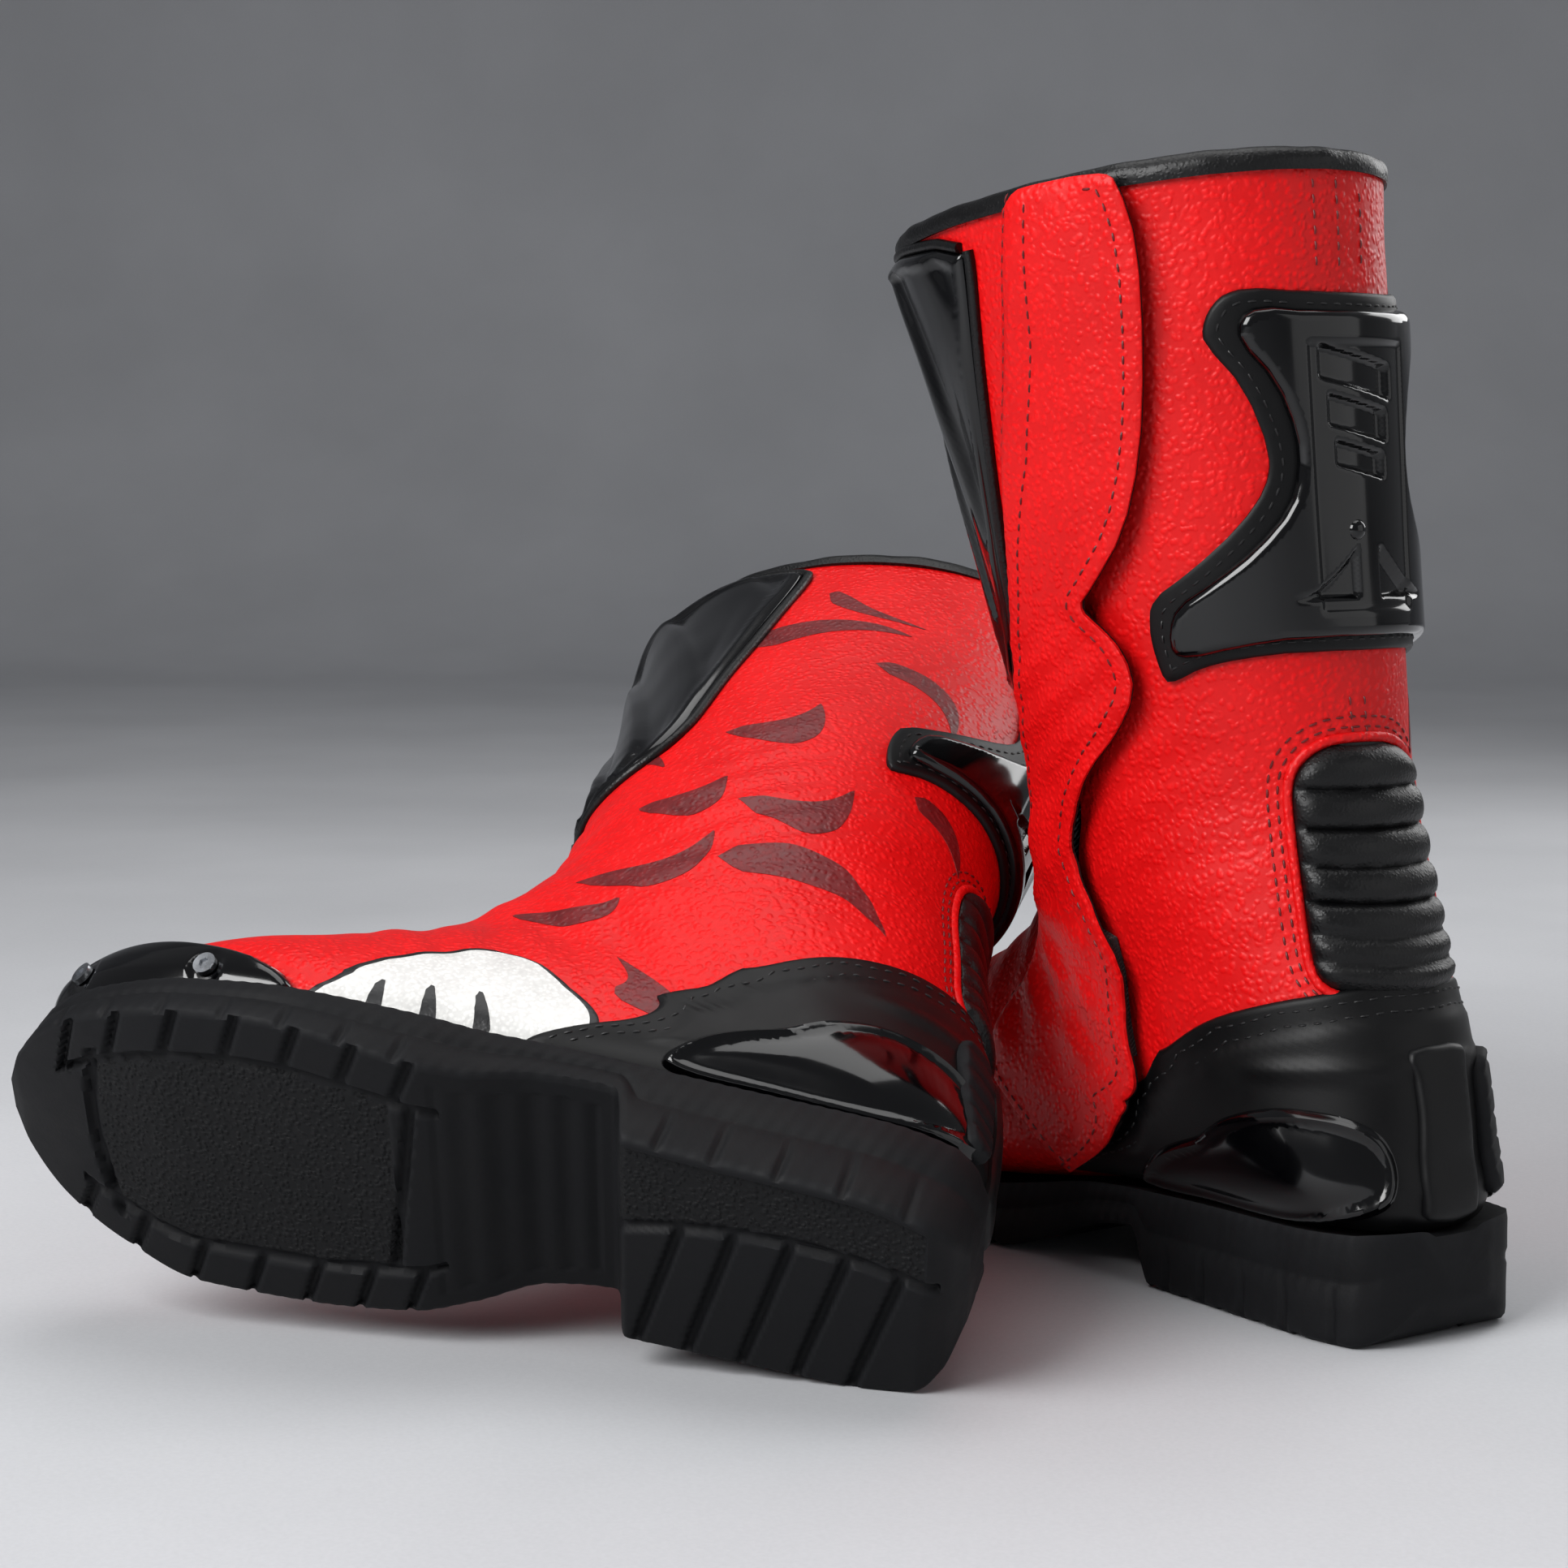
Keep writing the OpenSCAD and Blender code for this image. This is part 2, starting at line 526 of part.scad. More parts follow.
right_outsole();
right_shank();
right_insole();
right_foot();
right_shaft();
right_lining();
right_collar();
right_gusset();
right_toe_stiffener();
right_heel_counter();
right_zip_tape();
right_zip_teeth();
right_zip_slider();
right_zip_pull();
right_flap_seam();
right_flap();
right_flap_hooks();
right_shaft_loops();
right_shin_plate();
right_shin_piping();
right_calf_flange();
right_calf_shell();
right_calf_stud();
right_tendon_pad();
right_heel_cup();
right_heel_gloss();
right_heel_bumper();
right_toe_slider();
right_toe_screws();
left_outsole();
left_shank();
left_insole();
left_foot();
left_shaft();
left_lining();
left_collar();
left_gusset();
left_toe_stiffener();
left_heel_counter();
left_zip_tape();
left_zip_teeth();
left_zip_slider();
left_zip_pull();
left_flap_seam();
left_flap();
left_flap_hooks();
left_shaft_loops();
left_shin_plate();
left_shin_piping();
left_calf_flange();
left_calf_shell();
left_calf_stud();
left_tendon_pad();
left_heel_cup();
left_heel_gloss();
left_heel_bumper();
left_toe_slider();
left_toe_screws();
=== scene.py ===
import bpy, bmesh, math
import numpy as np
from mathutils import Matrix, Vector
from mathutils.geometry import delaunay_2d_cdt


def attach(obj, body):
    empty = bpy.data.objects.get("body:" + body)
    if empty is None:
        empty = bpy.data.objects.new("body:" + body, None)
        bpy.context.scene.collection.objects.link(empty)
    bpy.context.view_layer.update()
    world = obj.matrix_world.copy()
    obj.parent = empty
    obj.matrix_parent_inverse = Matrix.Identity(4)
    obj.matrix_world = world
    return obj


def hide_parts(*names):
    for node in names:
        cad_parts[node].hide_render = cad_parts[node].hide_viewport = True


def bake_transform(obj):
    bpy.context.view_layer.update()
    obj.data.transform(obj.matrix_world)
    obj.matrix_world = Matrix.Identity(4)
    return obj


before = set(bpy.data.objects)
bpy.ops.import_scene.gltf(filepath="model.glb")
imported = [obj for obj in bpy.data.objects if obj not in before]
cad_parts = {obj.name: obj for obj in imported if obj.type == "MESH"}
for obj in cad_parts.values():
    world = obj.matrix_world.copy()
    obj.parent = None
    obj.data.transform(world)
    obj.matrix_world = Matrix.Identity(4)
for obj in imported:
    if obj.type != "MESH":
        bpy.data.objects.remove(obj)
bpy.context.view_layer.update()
mm = 0.001
print("frame loaded")

# the last both boots are made on, in mm, right boot standing
# rows down the shaft and out to the toe: front x z, back x z, half width, sideways shift,
# share of the depth behind the widest point, squareness front and back
last = {
    "rows": np.array([
        [146, 322, -21, 342, 58.5, 33, .48, 2, 2.1], [134, 268, -18.5, 278, 55.5, 23, .48, 2, 2.1],
        [124, 214, -16.5, 214, 52, 13, .48, 2, 2.1], [120, 165, -18, 158, 47.5, 5, .48, 2, 2.1],
        [121, 140, -29, 116, 45, 3, .48, 2, 2.1], [125, 127, -39, 86, 43, 1, .48, 2, 2.2],
        [131, 116, -45, 56, 41, 0, .45, 2, 2.4], [140, 106, -43, 33, 40, 0, .42, 2, 2.8],
        [149, 97, 5, 31, 40, 0, .40, 2, 3.2], [161, 89, 55, 29, 41, 0, .36, 2, 3.4],
        [174, 80, 97, 22, 45, 1, .34, 1.9, 2.9], [188, 70, 140, 16, 48, 2, .33, 1.9, 2.9],
        [203, 62, 177, 15, 45, 5, .35, 1.9, 2.9], [216, 54, 203, 17, 38, 7, .40, 1.9, 2.9],
        [226, 45, 222, 21, 27, 8, .45, 1.9, 2.6], [232, 35, 231, 26, 14, 8, .50, 1.9, 2]], float),
    "twist": 8.0,           # shaft turn at the collar, degrees
    "leftTurn": (61.5, -9.1, 43.1),
    "leftShift": (9.1, 198.3, 33.5),
}


def flow(t, table):
    # smooth curve through the rows of a table
    n = len(table) - 1
    t = np.clip(t, 0, n)
    i = np.minimum(t.astype(int), n - 1)
    f = (t - i)[:, None]
    at = lambda k: table[np.clip(k, 0, n)]
    p0, p1, p2, p3 = at(i - 1), at(i), at(i + 1), at(i + 2)
    p0 = np.where((i == 0)[:, None], 2 * p1 - p2, p0)
    p3 = np.where((i + 2 > n)[:, None], 2 * p2 - p1, p3)
    return .5 * (2 * p1 + (p2 - p0) * f + (2 * p0 - 5 * p1 + 4 * p2 - p3) * f * f
                 + (3 * p1 - p0 - 3 * p2 + p3) * f ** 3)


def lastPoint(t, a):
    # t counts rows, a is the angle round the leg in degrees: 0 front, 90 inner side, 180 back
    row = flow(np.clip(t, 0, 15), last["rows"])
    front, back = row[:, 0:2], row[:, 2:4]
    halfWidth, shift, share, nFront, nBack = row[:, 4:9].T
    depth = np.linalg.norm(front - back, axis=1)
    along = (front - back) / depth[:, None]
    mid = back + along * (depth * share)[:, None]
    c, s = np.cos(np.radians(a)), np.sin(np.radians(a))
    n = np.where(c >= 0, nFront, nBack)
    reach = np.sign(c) * np.abs(c) ** (2 / n) * np.where(c >= 0, depth * (1 - share), depth * share)
    side = np.sign(s) * np.abs(s) ** (2 / n) * halfWidth
    x = mid[:, 0] + along[:, 0] * reach
    z = mid[:, 1] + along[:, 1] * reach
    turn = np.radians(last["twist"]) * np.clip((6 - t) / 6, 0, 1)
    cx = (front[:, 0] + back[:, 0]) / 2
    dx = x - cx
    z = z + np.maximum(-t, 0) * 50   # past the top row the leather runs on straight up
    return np.stack([cx + np.cos(turn) * dx - np.sin(turn) * side,
                     shift + np.sin(turn) * dx + np.cos(turn) * side, z], 1)


def outward(t, a):
    step = .02
    t = np.clip(t, 0, 15)
    down = lastPoint(np.clip(t + step, 0, 15), a) - lastPoint(np.clip(t - step, 0, 15), a)
    # a small nudge keeps the square corners of the last well behaved
    a = np.where(np.abs(a % 90) < .4, a + .5, a)
    across = lastPoint(t, a + .8) - lastPoint(t, a - .8)
    n = np.cross(down, across)
    n = n / np.maximum(np.linalg.norm(n, axis=1, keepdims=True), 1e-9)
    tip = np.clip((t - 14.2) / .8, 0, 1)[:, None]
    n = n * (1 - tip) + np.array([1., 0, 0]) * tip
    return n / np.linalg.norm(n, axis=1, keepdims=True)


def bump(v, lo, hi, soft):
    # 1 between lo and hi, falling to 0 over soft on both sides
    up = np.clip((v - lo + soft) / soft, 0, 1)
    down = np.clip((hi + soft - v) / soft, 0, 1)
    return up * up * (3 - 2 * up) * down * down * (3 - 2 * down)


creasing = {"broad": .55, "ankle": 1.25, "instep": .7, "foldPitch": 15.0}   # mm


def leatherWave(t, a, p):
    # how far the worn leather stands off the last, in mm
    x, y, z = p.T
    off = np.abs((a + 180) % 360 - 180)       # 0 at the front, 180 at the back
    calf = bump(t, .5, 2.4, .3) * bump(off, 112, 180, 14)
    cup = bump(t, 4.6, 9.6, .5) * bump(off, 84, 180, 16)
    toe = np.clip((t - 9.6) / 2, 0, 1)
    still = (1 - .85 * calf) * (1 - .9 * cup) * (1 - .85 * toe)
    broad = np.sin(z / 13 + 1.7 * np.sin(x / 29 + y / 41)) * np.sin(x / 19 - y / 23 + .6)
    broad = broad + .5 * np.sin(z / 7.3 + x / 11 + 2 * np.sin(y / 17))
    lines = np.sin(2 * np.pi * (z + .55 * x + 5 * np.sin(y / 16 + x / 37)) / creasing["foldPitch"])
    ankle = bump(t, 2.7, 5.2, .9) * bump(off, 0, 118, 30)
    across = np.sin(2 * np.pi * (x * .8 - .5 * z + 4 * np.sin(y / 13)) / 17.0)
    instep = bump(t, 6.2, 9.2, .8) * bump(off, 0, 75, 25)
    fold = creasing["ankle"] * ankle * np.sign(lines) * np.abs(lines) ** 1.4 * (.6 + .4 * np.sin(y / 11 + 1))
    return still * (creasing["broad"] * broad * .6 + fold * .62 + creasing["instep"] * instep * across * .6)


def skin(t, a, lift=0.0, soft=1.0):
    t, a = np.broadcast_arrays(np.asarray(t, float), np.asarray(a, float))
    shape = t.shape
    t, a = t.ravel(), a.ravel()
    p = lastPoint(t, a)
    n = outward(t, a)
    rise = np.broadcast_to(np.asarray(lift, float), shape).ravel() + soft * leatherWave(t, a, p)
    return (p + n * rise[:, None]).reshape(shape + (3,))


def turnMatrix(angles):
    rx, ry, rz = np.radians(angles)
    mx = np.array([[1, 0, 0], [0, math.cos(rx), -math.sin(rx)], [0, math.sin(rx), math.cos(rx)]])
    my = np.array([[math.cos(ry), 0, math.sin(ry)], [0, 1, 0], [-math.sin(ry), 0, math.cos(ry)]])
    mz = np.array([[math.cos(rz), -math.sin(rz), 0], [math.sin(rz), math.cos(rz), 0], [0, 0, 1]])
    return mz @ my @ mx


leftMatrix = turnMatrix(last["leftTurn"]) @ np.diag([1., -1, 1])
leftShift = np.array(last["leftShift"])


def setDown(side, points):
    points = np.asarray(points, float)
    if side == "left":
        points = points @ leftMatrix.T + leftShift
    return points * mm


def volumeOf(points, faces):
    tri = [(f[0], f[i], f[i + 1]) for f in faces for i in range(1, len(f) - 1)]
    tri = np.array(tri)
    a, b, c = points[tri[:, 0]], points[tri[:, 1]], points[tri[:, 2]]
    return float(np.einsum("ij,ij->", a, np.cross(b, c))) / 6


def piece(side, name, shape, material, body="boot", replaced=(), sharp=40, weld=False):
    points, faces = shape
    points = setDown(side, points)
    if volumeOf(points - points.mean(0), faces) < 0:
        faces = [f[::-1] for f in faces]
    mesh = bpy.data.meshes.new(side + "_" + name)
    mesh.from_pydata(points.tolist(), [], [list(map(int, f)) for f in faces])
    if weld:
        b = bmesh.new()
        b.from_mesh(mesh)
        bmesh.ops.remove_doubles(b, verts=b.verts, dist=weld)
        bmesh.ops.dissolve_degenerate(b, dist=1e-6, edges=b.edges)
        b.to_mesh(mesh)
        b.free()
    mesh.update()
    mesh.shade_smooth()
    mesh.set_sharp_from_angle(angle=math.radians(sharp))
    mesh.materials.append(material)
    obj = bpy.data.objects.new(side + "_" + name, mesh)
    bpy.context.scene.collection.objects.link(obj)
    if body:
        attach(obj, side + "_" + body)
    if replaced:
        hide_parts(*[side + "_" + r for r in replaced])
    return obj


def joined(shapes):
    points, faces, base = [], [], 0
    for p, f in shapes:
        points.append(np.asarray(p, float))
        faces += [tuple(i + base for i in q) for q in f]
        base += len(p)
    return np.concatenate(points), faces


def tubeAlong(path, normal, radius, sides=10, flat=1.0, closed=False):
    path, normal = np.asarray(path, float), np.asarray(normal, float)
    if closed:
        tangent = np.roll(path, -1, 0) - np.roll(path, 1, 0)
    else:
        tangent = np.gradient(path, axis=0)
    tangent /= np.maximum(np.linalg.norm(tangent, axis=1, keepdims=True), 1e-9)
    across = np.cross(tangent, normal)
    across /= np.maximum(np.linalg.norm(across, axis=1, keepdims=True), 1e-9)
    up = np.cross(across, tangent)
    angle = np.linspace(0, 2 * np.pi, sides, endpoint=False)
    radius = np.broadcast_to(radius, (len(path),))
    ring = (path[:, None] + radius[:, None, None] * (np.cos(angle)[None, :, None] * across[:, None]
            + flat * np.sin(angle)[None, :, None] * up[:, None]))
    n = len(path)
    points = ring.reshape(-1, 3)
    faces = []
    for i in range(n if closed else n - 1):
        for j in range(sides):
            a, b = i * sides + j, i * sides + (j + 1) % sides
            c, d = ((i + 1) % n) * sides + (j + 1) % sides, ((i + 1) % n) * sides + j
            faces.append((a, b, c, d))
    if not closed:
        faces.append(tuple(range(sides))[::-1])
        faces.append(tuple((n - 1) * sides + j for j in range(sides)))
    return points, faces


# a flat plan of the leather: mm down the leg and mm round it
planRows = np.linspace(-.3, 15, 600)
planStep = np.linalg.norm(np.diff(lastPoint(planRows, np.full(600, 100.)), axis=0), axis=1)
planMm = np.concatenate([[0], np.cumsum(np.maximum(planStep, .12))])
planRound = .95   # mm for each degree round the leg


def toPlan(points):
    points = np.asarray(points, float)
    return np.stack([np.interp(points[:, 0], planRows, planMm), points[:, 1] * planRound], 1)


def fromPlan(points):
    return np.stack([np.interp(points[:, 0], planMm, planRows), points[:, 1] / planRound], 1)


def cutCorners(points, times, closed=True):
    points = np.asarray(points, float)
    for _ in range(times):
        nxt = np.roll(points, -1, 0) if closed else points[1:]
        cur = points if closed else points[:-1]
        cut = np.stack([.75 * cur + .25 * nxt, .25 * cur + .75 * nxt], 1).reshape(-1, 2)
        points = cut if closed else np.concatenate([points[:1], cut, points[-1:]])
    return points


def evenly(points, spacing, closed=True):
    line = np.concatenate([points, points[:1]]) if closed else points
    length = np.concatenate([[0], np.cumsum(np.linalg.norm(np.diff(line, axis=0), axis=1))])
    n = max(int(round(length[-1] / spacing)), 8 if closed else 2)
    s = np.linspace(0, length[-1], n, endpoint=not closed)
    return np.stack([np.interp(s, length, line[:, k]) for k in range(line.shape[1])], 1)


def insideOf(points, loop):
    a, b = loop, np.roll(loop, -1, 0)
    x, y = points[:, 0:1], points[:, 1:2]
    cross = ((a[:, 1] > y) != (b[:, 1] > y)) & (
        x < (b[:, 0] - a[:, 0]) * (y - a[:, 1]) / (b[:, 1] - a[:, 1] + 1e-12) + a[:, 0])
    return cross.sum(1) % 2 == 1


def nearest(points, loop):
    out = np.empty(len(points))
    for i in range(0, len(points), 2000):
        d = np.linalg.norm(points[i:i + 2000, None] - loop[None], axis=2)
        out[i:i + 2000] = d.min(1)
    return out


def insetLine(loop, distance):
    # a closed plan outline moved inwards; negative moves it outwards
    area = .5 * np.sum(loop[:, 0] * np.roll(loop[:, 1], -1) - np.roll(loop[:, 0], -1) * loop[:, 1])
    tangent = np.roll(loop, -1, 0) - np.roll(loop, 1, 0)
    tangent /= np.maximum(np.linalg.norm(tangent, axis=1, keepdims=True), 1e-9)
    normal = np.stack([-tangent[:, 1], tangent[:, 0]], 1) * (1 if area > 0 else -1)
    return loop + normal * distance


def patch(outline, top, bottom, cell=2.0, rounding=2, rings=(), soft=1.0, plan=False):
    # a closed piece of the given outline; top and bottom give its height over the leather
    loop = np.asarray(outline, float) if plan else toPlan(outline)
    loop = evenly(cutCorners(loop, rounding), cell)
    lo, hi = loop.min(0), loop.max(0)
    xs, ys = np.arange(lo[0], hi[0], cell * .92), np.arange(lo[1], hi[1], cell)
    grid = np.array([(x, y + (cell / 2 if i % 2 else 0)) for i, x in enumerate(xs) for y in ys])
    extra = [insetLine(loop, r) for r in rings]
    far = (max(rings) if rings else 0) + cell * .55
    grid = grid[insideOf(grid, loop)]
    grid = grid[nearest(grid, loop) > far] if len(grid) else grid
    inner = []
    for r, ring in zip(rings, extra):
        ring = ring[insideOf(ring, loop)]
        inner.append(ring[nearest(ring, loop) > r * .85])
    pts = np.concatenate([loop] + inner + [grid])
    n = len(loop)
    edges = [(i, (i + 1) % n) for i in range(n)]
    found = delaunay_2d_cdt([Vector(p) for p in pts], edges, [], 1, 1e-6)
    plane = np.array([tuple(v) for v in found[0]])
    tri = [tuple(f) for f in found[2]]
    ta = fromPlan(plane)
    flat = lastPoint(ta[:, 0], ta[:, 1])
    rim = fromPlan(evenly(loop, cell / 2))
    away = nearest(flat, lastPoint(rim[:, 0], rim[:, 1]))
    high = skin(ta[:, 0], ta[:, 1], top(away, ta[:, 0], ta[:, 1]), soft)
    low = skin(ta[:, 0], ta[:, 1], bottom(away, ta[:, 0], ta[:, 1]), soft)
    count = len(plane)
    faces = list(tri) + [tuple(i + count for i in f[::-1]) for f in tri]
    # dict keeps the order the edges were met in
    sided = {(f[i], f[(i + 1) % 3]): True for f in tri for i in range(3)}
    for a, b in sided:
        if (b, a) not in sided:
            faces.append((b, a, a + count, b + count))
    return np.concatenate([high, low]), faces


def level(value):
    return lambda away, t, a: np.full(len(t), float(value))


def rounded(height, radius, base=0.0):
    # flat top with a quarter-round edge
    return lambda away, t, a: base + height * np.sqrt(1 - (1 - np.clip(away / radius, 0, 1)) ** 2)


def mirrored(points, mid=180):
    return [(t, 2 * mid - a) for t, a in points]


def stitches(line, lift, pitch=4.4, length=3.0, radius=.36, closed=False, plan=False, soft=1.0):
    # separate thread stitches, each sunk a little at its ends
    line = np.asarray(line, float) if plan else toPlan(line)
    fine = evenly(line, 1.0, closed)
    ta = fromPlan(fine)
    real = lastPoint(ta[:, 0], ta[:, 1])
    run = np.concatenate([[0], np.cumsum(np.linalg.norm(np.diff(real, axis=0), axis=1))])
    starts = np.arange(pitch / 2, run[-1] - pitch / 2, pitch)
    shapes = []
    k = np.array([-.5, -.3, 0, .3, .5]) * length
    swell = np.array([.35, .9, 1, .9, .35])
    sink = np.array([-.45, -.05, .1, -.05, -.45])
    at = starts[:, None] + k[None]
    t = np.interp(at, run, ta[:, 0])
    a = np.interp(at, run, ta[:, 1])
    height = lift(t.ravel(), a.ravel()).reshape(t.shape) if callable(lift) else np.full(t.shape, lift)
    path = skin(t, a, height + sink[None], soft)
    normal = outward(t[:, 2].ravel(), a[:, 2].ravel())
    for p, n in zip(path, normal):
        shapes.append(tubeAlong(p, np.repeat(n[None], 5, 0), radius * swell, 6, .8))
    return joined(shapes)


view = {"place": (-663, 626, 250), "aim": (69.4, 155.9, 162.9), "distance": 874.9, "lens": 68.16,
        "sensor": 36}   # place gives the direction only, the rest in mm
camera = bpy.data.objects.new("camera", bpy.data.cameras.new("camera"))
bpy.context.scene.collection.objects.link(camera)
aim, place = np.array(view["aim"]), np.array(view["place"])
back = (place - aim) / np.linalg.norm(place - aim)
place = aim + back * view["distance"]
camera.location = place * mm
camera.rotation_euler = Vector(-back).to_track_quat("-Z", "Y").to_euler()
camera.data.lens = view["lens"]
camera.data.sensor_width = view["sensor"]
camera.data.clip_start = .01
bpy.context.scene.camera = camera


def linear(hexColour):
    parts = [int(hexColour[i:i + 2], 16) / 255 for i in (1, 3, 5)]
    return tuple(c / 12.92 if c < .04045 else ((c + .055) / 1.055) ** 2.4 for c in parts) + (1.0,)


def add(tree, kind, inputs=None, **settings):
    made = tree.nodes.new("ShaderNode" + kind)
    for key, value in settings.items():
        setattr(made, key, value)
    for key, value in (inputs or {}).items():
        if isinstance(value, bpy.types.NodeSocket):
            tree.links.new(value, made.inputs[key])
        else:
            made.inputs[key].default_value = value
    return made


def surface(name, dark, light, rough, grain=(), patchMm=12.0, wear=None, metallic=0.0, coat=0.0,
            coatRough=.2, sheen=0.0, ior=1.5, specular=.5, roughSwing=.08):
    # grain: a list of (pattern, real size in mm, height in mm, share)
    material = bpy.data.materials.new(name)
    material.use_nodes = True
    tree = material.node_tree
    tree.nodes.clear()
    where = add(tree, "TexCoord").outputs["Object"]
    clouds = add(tree, "TexNoise", {"Vector": where, "Scale": 1000 / patchMm, "Detail": 4.0, "Roughness": .6})
    fine = add(tree, "TexNoise", {"Vector": where, "Scale": 1000 / 1.4, "Detail": 2.0})
    blendIn = add(tree, "Math", {0: clouds.outputs["Fac"], 1: .7}, operation="MULTIPLY")
    blendIn = add(tree, "Math", {0: fine.outputs["Fac"], 1: .3, 2: blendIn.outputs[0]},
                  operation="MULTIPLY_ADD")
    spread = add(tree, "MapRange", {"Value": blendIn.outputs[0], "From Min": .3, "From Max": .7})
    # the sockets called A and B are told apart by kind: the colour ones are 6 and 7
    colour = add(tree, "Mix", {"Factor": spread.outputs[0], 6: linear(dark), 7: linear(light)},
                 data_type="RGBA")
    tint = colour.outputs[2]
    normal, grainForShade = None, None
    for pattern, size, height, share in grain:
        if pattern == "pebble":
            warp = add(tree, "TexNoise", {"Vector": where, "Scale": 1000 / (size * 3), "Detail": 2.0})
            moved = add(tree, "VectorMath", {0: warp.outputs["Color"], 1: (size * 1.2 * mm,) * 3},
                        operation="MULTIPLY")
            moved = add(tree, "VectorMath", {0: where, 1: moved.outputs[0]}, operation="ADD")
            made = add(tree, "TexVoronoi", {"Vector": moved.outputs[0], "Scale": 1000 / size,
                       "Smoothness": .55}, feature="SMOOTH_F1")
            shaped = add(tree, "MapRange", {"Value": made.outputs["Distance"], "From Min": .1,
                                            "From Max": .62,
                         "To Min": 1.0, "To Max": 0.0}, interpolation_type="SMOOTHSTEP")
            value = shaped.outputs[0]
            # the first pebble grain's height also sets the painted shade in its hollows
            grainForShade = value if grainForShade is None else grainForShade
        elif pattern == "knit":
            first = add(tree, "TexWave", {"Vector": where, "Scale": 1000 / size / 2 / math.pi * 3.14,
                        "Distortion": .3, "Detail": 0.0}, bands_direction="DIAGONAL")
            second = add(tree, "TexVoronoi", {"Vector": where, "Scale": 1000 / size, "Randomness": .15})
            value = add(tree, "Math", {0: first.outputs["Fac"], 1: second.outputs["Distance"]},
                        operation="MULTIPLY").outputs[0]
        elif pattern == "brush":
            value = add(tree, "TexNoise", {"Vector": where, "Scale": 1000 / size,
                        "Detail": 6.0, "Roughness": .8}).outputs["Fac"]
        else:
            value = add(tree, "TexNoise", {"Vector": where, "Scale": 1000 / size, "Detail": 5.0,
                        "Roughness": .62}).outputs["Fac"]
        links = {"Height": value, "Distance": height * mm, "Strength": share}
        if normal is not None:
            links["Normal"] = normal
        normal = add(tree, "Bump", links).outputs["Normal"]
    # painted shade: the base colour is darkened to .86 of itself in the hollows between the pebbles
    if grainForShade is not None:
        deep = add(tree, "MapRange", {"Value": grainForShade, "From Min": 0.0, "From Max": .6, "To Min": .86,
                                      "To Max": 1.0})
        tint = add(tree, "VectorMath", {0: tint, "Scale": deep.outputs[0]}, operation="SCALE").outputs[0]
    if wear:
        edge = add(tree, "NewGeometry").outputs["Pointiness"]
        worn = add(tree, "MapRange", {"Value": edge, "From Min": .52, "From Max": .62, "To Max": wear[1]})
        tinted = add(tree, "Mix", {"Factor": worn.outputs[0], 6: tint, 7: linear(wear[0])}, data_type="RGBA")
        tint = tinted.outputs[2]
    gloss = add(tree, "MapRange", {"Value": clouds.outputs["Fac"], "From Min": .3, "From Max": .7,
                "To Min": max(rough - roughSwing, .03), "To Max": rough + roughSwing})
    links = {"Base Color": tint, "Roughness": gloss.outputs[0], "Metallic": metallic, "IOR": ior,
             "Coat Weight": coat, "Coat Roughness": coatRough, "Sheen Weight": sheen,
             "Specular IOR Level": specular}
    if normal is not None:
        links["Normal"] = normal
    shader = add(tree, "BsdfPrincipled", links)
    add(tree, "OutputMaterial", {"Surface": shader.outputs[0]})
    return material


